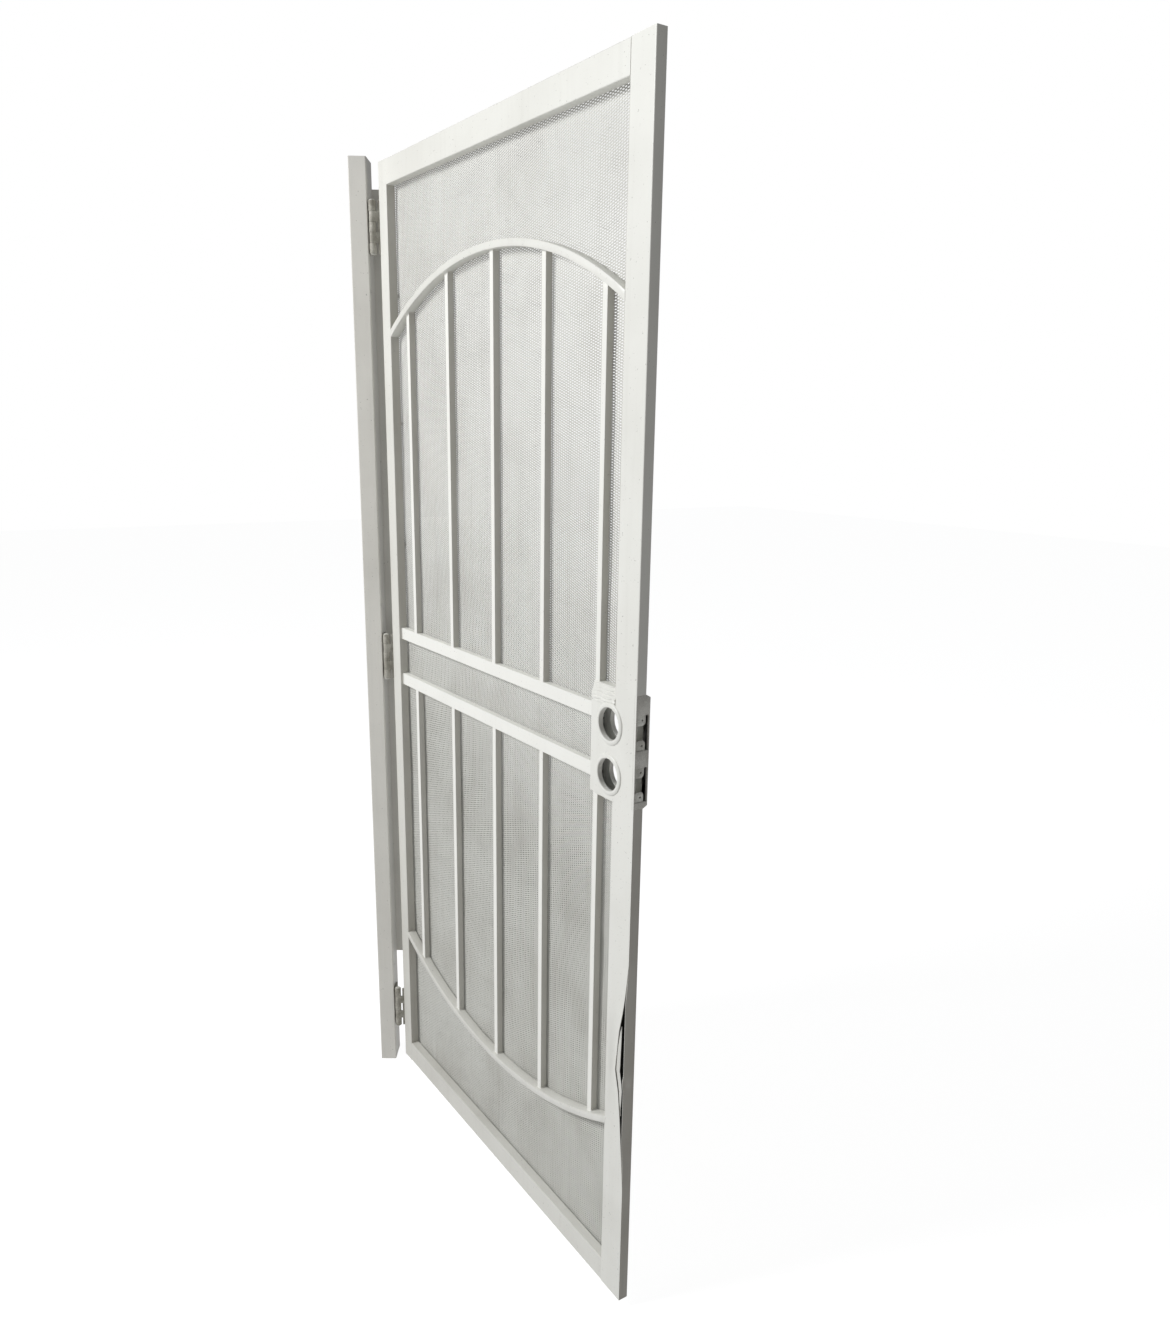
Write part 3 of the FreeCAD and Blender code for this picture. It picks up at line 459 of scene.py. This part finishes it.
# %% [markdown]
# ## Expanded metal screen
# Expanded metal starts as a sheet that is slit and stretched, so its strands stand at a slant, one
# zigzag above the next, joined where they touch. A picture of diamonds would look flat from the
# side. Here one strand is modelled, mirrored into a V, repeated into a zigzag, and the zigzags are
# stacked. Seven bands keep each mesh a sensible size. The fourth is cut short, because the screen
# ends at the lock box there. A gentle cloud pushes the whole sheet in and out by a millimetre or
# two, as thin metal never lies flat.

# %% One strand and its zigzag
screen_low, screen_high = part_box("screen")
COLUMNS = 68
diamond_width = (screen_high.x - screen_low.x) / (COLUMNS + 0.5)
diamond_height = 4.25 * MM
strand_high = 1.65 * MM
strand_deep = 2.2 * MM
STRAND_SLANT = 0.35 * MM  # a strand's back edge stands above its front face by this
STAND_OFF = 1.6 * MM  # the sheet hangs clear of the frame's back by this
print(f"diamonds {diamond_width / MM:.2f} by {diamond_height / MM:.2f} mm")


def strand():
    """Half a V: a three-sided bar that climbs from the middle of the V to its right end."""
    bpy.ops.mesh.primitive_cylinder_add(
        vertices=3,
        radius=0.5,
        depth=diamond_width / 2,
        end_fill_type="NOTHING",
        location=(diamond_width / 4, 0, 0),
        rotation=(0, math.radians(90), 0),
    )
    piece = settle(bpy.context.object, "strand")
    open_edit(piece)
    bpy.ops.mesh.select_all(action="SELECT")
    triangle_deep, triangle_high = 0.75, 0.866  # of a triangle in a circle of radius 0.5
    bpy.ops.transform.resize(
        value=(1, strand_deep / triangle_deep, strand_high / triangle_high),
        center_override=(0, 0, 0),
    )
    bpy.ops.mesh.select_all(action="DESELECT")
    pick(piece, "VERT", lambda vertex, at: at.y > 0)
    bpy.ops.transform.translate(value=(0, 0, STRAND_SLANT))
    bpy.ops.mesh.select_all(action="DESELECT")
    pick(piece, "VERT", lambda vertex, at: at.x > diamond_width / 4)
    bpy.ops.transform.translate(value=(0, 0, diamond_height / 2))
    close_edit()
    modify(piece, "MIRROR", use_axis=(True, False, False), merge_threshold=CLOSE)
    return piece


sheet_waves = bpy.data.textures.new("sheet_waves", "CLOUDS")
sheet_waves.noise_scale = 0.14
sheet_waves.noise_depth = 1


def screen_band(name, columns, rows, left, bottom):
    """Zigzags side by side and one above the other, with their cut ends closed."""
    piece = strand()
    modify(
        piece,
        "ARRAY",
        count=columns,
        use_relative_offset=False,
        use_constant_offset=True,
        constant_offset_displace=(diamond_width, 0, 0),
        use_merge_vertices=True,
        merge_threshold=CLOSE,
    )
    open_edit(piece)
    bpy.ops.mesh.select_all(action="SELECT")
    bpy.ops.mesh.fill_holes(sides=3)
    bpy.ops.mesh.normals_make_consistent(inside=False)
    close_edit()
    for count, step in (
        (2, (diamond_width / 2, 0, diamond_height / 2)),
        (rows, (0, 0, diamond_height)),
    ):
        modify(
            piece,
            "ARRAY",
            count=count,
            use_relative_offset=False,
            use_constant_offset=True,
            constant_offset_displace=step,
        )
    front = screen_low.y + STAND_OFF + strand_deep / 3
    piece.location = (left + diamond_width / 2, front, bottom)
    settle(piece, name)
    modify(
        piece,
        "DISPLACE",
        texture=sheet_waves,
        texture_coords="LOCAL",
        direction="Y",
        strength=2.6 * MM,
        mid_level=0.3,
    )
    return piece


# %% How many rows and columns each band has
notch_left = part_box("lock_box_wall")[0].x
narrow = math.ceil((notch_left - screen_low.x) / diamond_width)
low_rows = int((box_low.z - screen_low.z) / diamond_height)
middle_rows = int((box_high.z - box_low.z) / diamond_height)
high_rows = int((screen_high.z - screen_low.z) / diamond_height) - low_rows - middle_rows


def thirds(rows):
    """Three full-width bands that share a number of rows."""
    return [(COLUMNS, rows * (third + 1) // 3 - rows * third // 3) for third in range(3)]


bands = [*thirds(low_rows), (narrow, middle_rows), *thirds(high_rows)]
print("bands of (columns, rows):", bands)


# %% Bands of the screen
def cut_to_width(piece, limit):
    """Cut off whatever lies beyond a place along the door, and close the cut strands."""
    open_edit(piece)
    bpy.ops.mesh.select_all(action="SELECT")
    bpy.ops.mesh.bisect(
        plane_co=(limit, 0, 0), plane_no=(1, 0, 0), clear_outer=True, use_fill=True
    )
    close_edit()


band_pieces = []
next_row = 0
for number, (columns, rows) in enumerate(bands, start=1):
    bottom = screen_low.z + (next_row + 0.5) * diamond_height
    band_pieces.append(screen_band(f"screen_band_{number}", columns, rows, screen_low.x, bottom))
    next_row += rows
cut_to_width(band_pieces[3], notch_left + 0.5 * MM)

fit(band_pieces[0], "door", "screen_paint", screen_paint, "screen")
for piece in band_pieces[1:]:
    fit(piece, "door", "screen_paint", screen_paint)

# %% [markdown]
# ## Lower lock stile, pried open
# Somebody levered at the seam of the lower lock stile. Its front sheet is folded in at the edge to
# a sharp kink, a strip of the seam's inner flange shows beside it, and the stile's side wall is
# knocked in a little. The sheet starts as a fine grid, so that its edge can be pushed in where the
# real one is, more at the edge and less towards the middle. How far the edge goes is listed at a
# few heights above the leaf's foot, and is read off a straight line between them.

# %% How far the seam is pushed in
SEAM = (  # height, depth
    (-1, 0),
    (0.235, 0),
    (0.265, 0.003),
    (0.315, 0.0085),
    (0.373, 0.0145),
    (0.420, 0.0215),
    (0.457, 0.0315),
    (0.534, 0.023),
    (0.571, 0.0145),
    (0.600, 0.009),
    (0.632, 0.0045),
    (0.67, 0),
    (2, 0),
)
WALL_DEPTH = 7 * MM  # the side wall leans in by no more than this


def pushed_in(height):
    """Depth of the push at a height above the leaf's foot."""
    for (below, depth_below), (above, depth_above) in zip(SEAM, SEAM[1:]):
        if below <= height <= above:
            share = (height - below) / (above - below)
            return depth_below + share * (depth_above - depth_below)
    return 0


print(f"the seam is open by up to {max(depth for height, depth in SEAM) / MM:.1f} mm")


# %% Front sheet of the lower lock stile
face_low, face_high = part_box("lock_stile_face")
SHEET = face_high.y - face_low.y


def pried_sheet():
    """The stile's front sheet, with its edge folded in along the seam."""
    width = face_high.x - face_low.x
    height = face_high.z - face_low.z
    bpy.ops.mesh.primitive_grid_add(
        x_subdivisions=14, y_subdivisions=240, size=1, rotation=(math.radians(90), 0, 0)
    )
    piece = bpy.context.object
    piece.scale = (width, height, 1)
    piece.location = ((face_low.x + face_high.x) / 2, FRONT, (face_low.z + face_high.z) / 2)
    settle(piece, "lock_stile_skin")
    for vertex in piece.data.vertices:
        share = (vertex.co.x - face_low.x) / width
        push = pushed_in(vertex.co.z - FOOT)
        if push:
            near_edge = max(0, (share - 0.1) / 0.9) ** 1.1
            vertex.co.x -= push * near_edge
            hollow = math.sin(math.pi * min(1, near_edge)) * push
            vertex.co.y += 0.08 * hollow + 0.03 * push * near_edge**3
    modify(piece, "SOLIDIFY", thickness=SHEET, offset=-1)
    smooth(piece, 40)
    return piece


fit(pried_sheet(), "door", "frame_paint", stile_paint, "lock_stile_face")


# %% Strip of the seam's inner flange
STRIP_WIDE = 7.6 * MM
STRIP_THICK = 1.1 * MM


def seam_strip():
    """Narrow painted strip that was folded up beside the sheet's edge."""
    low, high = 0.375, 0.545
    bpy.ops.mesh.primitive_grid_add(
        x_subdivisions=4, y_subdivisions=60, size=1, rotation=(math.radians(90), 0, 0)
    )
    piece = bpy.context.object
    piece.scale = (1, high - low, 1)
    piece.location = (0, FRONT + 2.2 * MM, FOOT + (low + high) / 2)
    settle(piece, "seam_strip")
    for vertex in piece.data.vertices:
        height = vertex.co.z - FOOT
        share = vertex.co.x + 0.5
        start = LOCK_OUT - pushed_in(height) + 1.1 * MM
        taper = max(0, math.sin(math.pi * (height - low) / (high - low))) ** 0.8
        room = pushed_in(height) - WALL_DEPTH - 9 * MM
        vertex.co.x = start + share * (0.4 * MM + min(STRIP_WIDE * taper, max(0, room)))
        vertex.co.y += (1.5 * share + 0.6 * math.sin(60 * height)) * MM
    modify(piece, "SOLIDIFY", thickness=STRIP_THICK, offset=-1)
    smooth(piece, 40)
    return piece


fit(seam_strip(), "door", "frame_paint", leaf_paint)


# %% Channel behind the sheet
DENT_HEIGHT = 0.441
DENT_DEEP = 3.5 * MM
DENT_RADIUS = 9 * MM


def stile_channel():
    """The stile's three other walls, with the outer wall knocked in beside the seam."""
    low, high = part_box("lock_stile_lower")
    piece = block("stile_channel", low, high)
    open_edit(piece)
    pick(piece, "FACE", lambda face, at: abs(face.normal.z) > 0.5 or face.normal.y < -0.5)
    bpy.ops.mesh.delete(type="FACE")
    pick(piece, "EDGE", lambda edge, at: along(edge, 2) and at.y > (low.y + high.y) / 2)
    bpy.ops.mesh.bevel(offset=2 * MM, segments=3)
    bpy.ops.mesh.select_all(action="DESELECT")
    pick(piece, "EDGE", lambda edge, at: along(edge, 2))
    bpy.ops.mesh.subdivide(number_cuts=120)
    bpy.ops.mesh.select_all(action="DESELECT")
    pick(piece, "EDGE", lambda edge, at: along(edge, 1) and at.x > LOCK_OUT - 1 * MM)
    bpy.ops.mesh.subdivide(number_cuts=4)
    close_edit()
    depth = high.y - low.y
    dent = Vector((LOCK_OUT, low.y + 2 * MM, FOOT + DENT_HEIGHT))
    for vertex in piece.data.vertices:
        if vertex.co.x > LOCK_OUT - 0.5 * MM:
            near_front = max(0, 1 - (vertex.co.y - low.y) / depth)
            push = min(pushed_in(vertex.co.z - FOOT) * 0.7, WALL_DEPTH)
            away = (vertex.co - dent).length / DENT_RADIUS
            vertex.co.x -= push * near_front + DENT_DEEP * math.exp(-away * away)
    # The channel's inner skin takes the near-black finish, painted shade for the hollow.
    dress(piece, stile_paint, hollow_shade)
    modify(piece, "SOLIDIFY", thickness=1.6 * MM, offset=-1, material_offset=1)
    smooth(piece, 35)
    return piece


fit(stile_channel(), "door", "frame_paint", stile_paint, "lock_stile_lower")

# %% [markdown]
# ## Arches
# Each arch is a flat bar bent on edge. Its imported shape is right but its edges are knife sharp, so
# a copy is merged and its edges rounded by one millimetre, which is what catches the light.

# %% Arches
for side in ("upper", "lower"):
    arch = softened(f"{side}_arch", f"{side}_arch_bar", 1.0 * MM)
    fit(arch, "door", "frame_paint", leaf_paint, f"{side}_arch")

# %% [markdown]
# ## Rims round the lock bores
# Each bore has a wide, smooth rim pressed out of the sheet, front and back. A torus has the right
# roll to it, but half of it would be buried in the plate. So it is flattened, its buried half is
# deleted, its inner edge is extruded into the bore as a sleeve, its roll is drawn towards the bore,
# and the whole is given a wall.

# %% Rims
RIM_ROLL = 4 * MM
RIM_SLEEVE = 6 * MM


def bore_rim(collar):
    """Pressed rim at the place of a packed collar."""
    low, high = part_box(collar)
    middle = (low + high) / 2
    outwards = -1 if middle.y < BACK else 1
    plate = high.y if outwards < 0 else low.y
    rim_radius = (high.x - low.x) / 2
    bpy.ops.mesh.primitive_torus_add(
        major_segments=72,
        minor_segments=20,
        major_radius=rim_radius - RIM_ROLL,
        minor_radius=RIM_ROLL,
        location=(middle.x, plate, middle.z),
        rotation=(math.radians(90), 0, 0),
    )
    piece = bpy.context.object
    piece.scale = (1, 1, (high.y - low.y) / RIM_ROLL)
    settle(piece, collar + "_rim")
    open_edit(piece)
    pick(piece, "FACE", lambda face, at: (at.y - plate) * outwards < 0)
    bpy.ops.mesh.delete(type="FACE")

    def inner_edge(edge, at):
        off_axis = math.hypot(at.x - middle.x, at.z - middle.z)
        return edge.is_boundary and off_axis < rim_radius - RIM_ROLL

    pick(piece, "EDGE", inner_edge)
    sleeve = (0, -RIM_SLEEVE * outwards, 0)
    bpy.ops.mesh.extrude_edges_move(TRANSFORM_OT_translate={"value": sleeve})
    bpy.ops.mesh.select_all(action="SELECT")
    bpy.ops.mesh.normals_make_consistent(inside=False)
    close_edit()
    bore = rim_radius - 2 * RIM_ROLL
    for vertex in piece.data.vertices:
        off_axis = Vector((vertex.co.x - middle.x, 0, vertex.co.z - middle.z))
        share = max(0, (off_axis.length - bore) / (2 * RIM_ROLL))
        drawn_in = (bore + 2 * RIM_ROLL * share**1.8) / off_axis.length
        vertex.co.x = middle.x + off_axis.x * drawn_in
        vertex.co.z = middle.z + off_axis.z * drawn_in
    crest = max(piece.data.polygons, key=lambda face: face.center.y * outwards)
    if crest.normal.y * outwards < 0:
        piece.data.flip_normals()
    modify(piece, "SOLIDIFY", thickness=0.9 * MM, offset=-1)
    smooth(piece, 50)
    return piece


for collar in [name for name in nodes if "_collar_" in name]:
    fit(bore_rim(collar), "door", "frame_paint", leaf_paint, collar)

# %% [markdown]
# ## Shoulder over the lock box
# Between the last bar and the stile the box ends in a slope, closed by several rough passes of
# weld that were painted over. The slope is a block divided into a fine grid. Its depth is squeezed
# towards the top, so that its front leans back, and wavy ridges two millimetres high run across.

# %% Shoulder
PASS_PITCH = 6.2 * MM  # from one pass of weld to the next
PASS_PROUD = 2.4


def weld_shoulder():
    """Sloped top of the box, with its rough passes of weld."""
    low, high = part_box("lock_box_shoulder")
    foot = low.z - 14 * MM
    top = high.z + 0.4 * MM
    piece = block("weld_shoulder", (low.x, FRONT, foot), (high.x, back_low.y, top))
    open_edit(piece)
    bpy.ops.mesh.select_all(action="SELECT")
    bpy.ops.mesh.subdivide(number_cuts=44)
    close_edit()
    slope = (BAR_FRONT - FRONT) / (high.z - low.z)
    for vertex in piece.data.vertices:
        forward = (back_low.y - vertex.co.y) / (back_low.y - FRONT)
        x, z = vertex.co.x - low.x, vertex.co.z
        lean = max(0, z - low.z) * slope
        wave = 1.4 * math.sin(170 * x + 1) + 0.8 * math.sin(410 * x)
        ridge = abs(math.sin(math.pi * (z - foot) / PASS_PITCH + 0.3 * wave))
        lump = 0.85 + 0.15 * math.sin(520 * x + 3 * math.floor((z - foot) / PASS_PITCH))
        fade = min(1, (z - foot) / (8 * MM))
        rise = min(1, (x + 1 * MM) / (13 * MM))
        proud = (PASS_PROUD * ridge * lump * rise + 0.25) * fade - 0.35 * (1 - fade)
        vertex.co.y += forward * (lean - proud * MM)
    smooth(piece, 60)
    return piece


fit(weld_shoulder(), "door", "frame_paint", leaf_paint, "lock_box_shoulder")


# %% Back of the lock box
box_back = softened("lock_box_back_plate", "lock_box_back", 0.6 * MM)
fit(box_back, "door", "frame_paint", leaf_paint, "lock_box_back_plate")


# %% Folded lip under the box
LIP_DROP = 4.2 * MM


def box_lip():
    """Returned edge of the sheet, which shows as a second line under the box."""
    low = Vector((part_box("lower_bar_5")[1].x, FRONT + 1.6 * MM, box_low.z - LIP_DROP))
    high = Vector((LOCK_IN + 0.5 * MM, FRONT + 9 * MM, box_low.z + 0.5 * MM))
    piece = block("box_lip", low, high)
    open_edit(piece)
    pick(piece, "EDGE", lambda edge, at: along(edge, 0) and at.y < low.y + 1 * MM)
    bpy.ops.mesh.bevel(offset=1.4 * MM, segments=4)
    bpy.ops.mesh.select_all(action="DESELECT")
    pick(piece, "EDGE", lambda edge, at: along(edge, 0))
    bpy.ops.mesh.subdivide(number_cuts=16)
    close_edit()
    for vertex in piece.data.vertices:
        if vertex.co.y < high.y - 1 * MM:
            vertex.co.y += 0.35 * MM * math.sin(240 * vertex.co.x)
    smooth(piece)
    return piece


fit(box_lip(), "door", "frame_paint", leaf_paint)

# %% [markdown]
# ## Lock edge
# On the door's edge the box shows a plate with a stepped, sloped back and two mortises, one for
# each lock's faceplate. In each mortise two tabs with round inner corners take the faceplate's
# screws, and between the tabs the bolt comes out. The mortises and the screw holes are real holes
# here, cut with booleans, because light and shade inside them are what the eye sees.

# %% Lock edge helpers
def cut(piece, cutter):
    """Take a cutter's shape out of a piece."""
    modify(piece, "BOOLEAN", object=cutter, operation="DIFFERENCE", solver="EXACT")
    bpy.data.objects.remove(cutter)


edge_low, edge_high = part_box("lock_edge_plate")
lock_heights = []
for lock in ("deadbolt", "latch"):
    collar_low, collar_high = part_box(lock + "_collar_front")
    lock_heights.append((collar_low.z + collar_high.z) / 2)
MORTISE_HALF = 28.6 * MM
MORTISE_FRONT = edge_low.y + 2.0 * MM
MORTISE_BACK = edge_high.y - 1.8 * MM
TAB_BACK = edge_low.y + 19.5 * MM
TAB_LENGTH = 17 * MM
TAB_CORNER = 6.5 * MM
SCREW_RADIUS = 1.75 * MM
SCREW_FROM_MIDDLE = 20.65 * MM
BACK_SLOPE = 4.5 * MM  # the stepped back is shorter than the plate by this at each end
print("locks at", [round(height, 4) for height in lock_heights])


# %% Lock edge plate
def lock_edge():
    """Plate on the door's edge, with its stepped back and its two mortises."""
    back = back_high.z
    piece = block("lock_edge", edge_low, (edge_high.x, BACK, edge_high.z))
    open_edit(piece)
    bpy.ops.mesh.select_all(action="SELECT")
    bpy.ops.mesh.bisect(plane_co=(0, 0, back), plane_no=(0, 0, 1))
    bpy.ops.mesh.select_all(action="DESELECT")
    pick(piece, "FACE", lambda face, at: face.normal.y > 0.9 and at.z < back)
    bpy.ops.mesh.extrude_region_move(
        TRANSFORM_OT_translate={"value": (0, edge_high.y - BACK, 0)}
    )
    middle = (edge_low.z + back) / 2
    shorter = 1 - 2 * BACK_SLOPE / (back - edge_low.z)
    bpy.ops.transform.resize(value=(1, 1, shorter), center_override=(0, 0, middle))
    close_edit()
    for height in lock_heights:
        low = (edge_low.x - 1 * MM, MORTISE_FRONT, height - MORTISE_HALF)
        high = (edge_high.x + 1 * MM, MORTISE_BACK, height + MORTISE_HALF)
        cut(piece, block("mortise_cutter", low, high))
    modify(piece, "BEVEL", width=0.5 * MM, segments=2, limit_method="ANGLE")
    smooth(piece)
    dress(piece, edge_finish, leaf_paint)
    for face in piece.data.polygons:
        on_front = face.normal.y < -0.5 and face.center.y < FRONT + 1 * MM
        face.material_index = 1 if on_front else 0
    return piece


fit(lock_edge(), "door", "lock_steel", edge_finish, "lock_edge_plate")


# %% Faceplate tabs
def faceplate_tab(name, height, side):
    """Tab at the upper (side 1) or lower (side -1) end of a mortise, with its screw hole."""
    outer = height + side * (MORTISE_HALF + 0.5 * MM)
    inner = height + side * (MORTISE_HALF - TAB_LENGTH)
    low = Vector((edge_high.x - 4.2 * MM, MORTISE_FRONT - 0.5 * MM, min(outer, inner)))
    high = Vector((edge_high.x - 1.3 * MM, TAB_BACK, max(outer, inner)))
    piece = block(name, low, high)
    open_edit(piece)
    pick(piece, "EDGE", lambda edge, at: along(edge, 0) and abs(at.z - inner) < 1 * MM)
    bpy.ops.mesh.bevel(offset=TAB_CORNER, segments=8)
    close_edit()
    bpy.ops.mesh.primitive_cylinder_add(
        vertices=24,
        radius=SCREW_RADIUS,
        depth=10 * MM,
        location=(low.x, (edge_low.y + edge_high.y) / 2, height + side * SCREW_FROM_MIDDLE),
        rotation=(0, math.radians(90), 0),
    )
    cut(piece, settle(bpy.context.object, "screw_cutter"))
    modify(piece, "BEVEL", width=0.35 * MM, segments=2, limit_method="ANGLE")
    smooth(piece)
    return piece


for lock, height in zip(("deadbolt", "latch"), lock_heights):
    for word, side in (("upper", 1), ("lower", -1)):
        tab = faceplate_tab(f"{lock}_tab_{word}", height, side)
        fit(tab, "door", "lock_steel", tab_finish_and_pin_highlight)

# %% [markdown]
# ## Weld beads
# The bars, rails and arches are welded on. A bead is a row of overlapping ripples. One straight
# bead is a thin cylinder cut into many rings, whose rings swell and shrink in turn, and it is laid
# from one point to another wherever two members meet.

# %% One bead
RIPPLE = 2.2 * MM  # from one ripple to the next


def bead(start, end, radius):
    """Rippled weld bead between two points."""
    start, end = Vector(start), Vector(end)
    line = end - start
    rings = max(6, int(line.length / (0.8 * MM)))
    bpy.ops.mesh.primitive_cylinder_add(vertices=10, radius=radius, depth=line.length)
    piece = bpy.context.object
    open_edit(piece)
    pick(piece, "EDGE", lambda edge, at: along(edge, 2))
    bpy.ops.mesh.subdivide(number_cuts=rings)
    close_edit()
    for vertex in piece.data.vertices:
        share = vertex.co.z / line.length + 0.5
        turn = share * line.length / RIPPLE * math.tau
        ripple = 0.84 + 0.16 * math.cos(turn + 9 * start.x)
        end_taper = 0.35 + 0.65 * min(1, 6 * min(share, 1 - share) + 0.15)
        vertex.co.x *= ripple * end_taper
        vertex.co.y *= ripple * end_taper
    piece.location = (start + end) / 2
    piece.rotation_euler = line.to_track_quat("Z", "Y").to_euler()
    smooth(settle(piece, "bead"), 80)
    return piece


def arch_inner(side):
    """Function that gives the height of an arch's inner edge at a place along the door."""
    low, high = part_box(side + "_arch")
    thick = bar_high.x - bar_low.x
    half = (high.x - low.x) / 2
    rise = high.z - low.z
    radius = (half**2 + rise**2 - thick**2) / (2 * (rise - thick))
    middle = (low.x + high.x) / 2
    if side == "upper":
        centre = high.z - radius
        return lambda x: centre + math.sqrt((radius - thick) ** 2 - (x - middle) ** 2)
    centre = low.z + radius
    return lambda x: centre - math.sqrt((radius - thick) ** 2 - (x - middle) ** 2)


# %% Beads all over the leaf
BAR_BEAD, CROSSING_BEAD, ARCH_BEAD, RAIL_BEAD = 1.5 * MM, 1.2 * MM, 1.6 * MM, 1.9 * MM
ARCH_BEAD_LENGTH = 15 * MM
beads = []
for side in ("upper", "lower"):
    inner = arch_inner(side)
    for name in [node for node in nodes if node.startswith(side + "_bar_")]:
        low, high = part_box(name)
        left, right = low.x - 0.5 * MM, high.x + 0.5 * MM
        front = low.y + 0.4 * MM
        beads.append(bead((left, front, inner(left)), (right, front, inner(right)), BAR_BEAD))
        z = inner(right)
        beads.append(bead((high.x, low.y, z), (high.x, high.y, z), BAR_BEAD))
    rail_low, rail_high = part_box(side + "_lock_rail")
    for x in (rail_low.x, rail_high.x):
        front = rail_low.y + 0.3 * MM
        beads.append(bead((x, front, rail_low.z), (x, front, rail_high.z), RAIL_BEAD))
    for name in [node for node in nodes if node.startswith(side + "_bar_")]:
        low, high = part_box(name)
        if high.x > rail_high.x:
            continue
        z = rail_high.z if side == "upper" else rail_low.z
        beads.append(bead((high.x, low.y, z), (high.x, high.y, z), CROSSING_BEAD))
    arch_low, arch_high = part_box(side + "_arch")
    for x in (arch_low.x, arch_high.x):
        front = FRONT + 0.6 * MM
        z = inner(x)
        step = ARCH_BEAD_LENGTH if side == "upper" else -ARCH_BEAD_LENGTH
        beads.append(bead((x, front, z), (x, front, z + step), ARCH_BEAD))
print(len(beads), "beads")
fit(join(beads, "weld_beads"), "door", "frame_paint", bar_paint)

# %% [markdown]
# ## Tack welds
# Puddles of weld hold the screen to the frame's back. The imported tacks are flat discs, so a copy
# is drawn out to the rear and its rims are rounded until each is a low dome.

# %% Tack welds
TACK_DRAWN_OUT = 3.4 * MM


def tack_puddles():
    """Domes of weld on the screen's back."""
    piece = softened("screen_tack_welds", "tack_puddles", 0.6 * MM, 3)
    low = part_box("screen_tack_welds")[0]
    open_edit(piece)
    pick(piece, "VERT", lambda vertex, at: at.y > low.y + 0.1 * MM)
    bpy.ops.transform.translate(value=(0, TACK_DRAWN_OUT, 0))
    close_edit()
    return piece


fit(tack_puddles(), "door", "screen_paint", leaf_paint, "screen_tack_welds")

# %% [markdown]
# ## Hinges
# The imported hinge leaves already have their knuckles, plates and play. Rounding their edges by a
# little over half a millimetre brings out the line of each knuckle.

# %% Hinge leaves
for place in ("bottom", "middle", "top"):
    for side, body in (("jamb", "jamb"), ("door", "door")):
        node = f"hinge_{place}_{side}_leaf"
        piece = softened(node, f"{place}_hinge_{side}_half", 0.6 * MM)
        fit(piece, body, "hinge_steel", hinge_finish, node)

# %% [markdown]
# ## Studio
# A plain pale floor, a large soft light in front and above, and an even sky. The floor glows a
# little, so that it stays pale to the eye and throws some light up under the door.

# %% Floor
FLOOR_SIZE = 30
FLOOR_BOUNCE = 0.45  # light that the floor sends to the door
FLOOR_SEEN = 0.93  # light that the floor shows to the eye

bpy.ops.mesh.primitive_plane_add(size=FLOOR_SIZE, location=(0, 0, 0))
floor = settle(bpy.context.object, "floor")
floor_finish = Finish("floor_finish")
floor_finish.shader.inputs["Base Color"].default_value = (0.28, 0.28, 0.28, 1)
floor_finish.shader.inputs["Roughness"].default_value = 0.9
floor_finish.shader.inputs["Emission Color"].default_value = (1, 1, 1, 1)
seen = floor_finish.add("ShaderNodeLightPath").outputs["Is Camera Ray"]
glow = floor_finish.spread(seen, 0, 1, FLOOR_BOUNCE, FLOOR_SEEN)
floor_finish.join(glow, floor_finish.shader.inputs["Emission Strength"])
floor.data.materials.append(floor_finish.material)
print("floor is", FLOOR_SIZE, "m square")


# %% Key light
KEY_PLACE = Vector((-0.6, -3.4, 3.4))
KEY_TARGET = Vector((0.45, 0, 1.2))
KEY_SIZE = 1.4
KEY_POWER = 142

key_data = bpy.data.lights.new("key_light", "AREA")
key_data.shape = "DISK"
key_data.size = KEY_SIZE
key_data.energy = KEY_POWER
key_light = bpy.data.objects.new("key_light", key_data)
bpy.context.scene.collection.objects.link(key_light)
key_light.location = KEY_PLACE
key_light.rotation_euler = (KEY_TARGET - KEY_PLACE).to_track_quat("-Z", "Y").to_euler()
print("key light of", KEY_POWER, "W")

# %% [markdown]
# The sky has two faces: a dim, even one lights the door, and a white one is what the eye sees
# behind it.

# %% Sky
SKY_STRENGTH = 0.165

world = bpy.data.worlds.new("studio")
world.use_nodes = True
tree = world.node_tree
sky = tree.nodes["Background"]
sky.inputs["Color"].default_value = (0.96, 0.98, 1.0, 1)
sky.inputs["Strength"].default_value = SKY_STRENGTH
backdrop = tree.nodes.new("ShaderNodeBackground")
backdrop.inputs["Color"].default_value = (1, 1, 1, 1)
chooser = tree.nodes.new("ShaderNodeMixShader")
seen = tree.nodes.new("ShaderNodeLightPath")
tree.links.new(seen.outputs["Is Camera Ray"], chooser.inputs["Fac"])
tree.links.new(sky.outputs["Background"], chooser.inputs[1])
tree.links.new(backdrop.outputs["Background"], chooser.inputs[2])
tree.links.new(chooser.outputs["Shader"], tree.nodes["World Output"].inputs["Surface"])
bpy.context.scene.world = world
bpy.context.scene.view_settings.view_transform = "Standard"
print("sky of strength", SKY_STRENGTH)
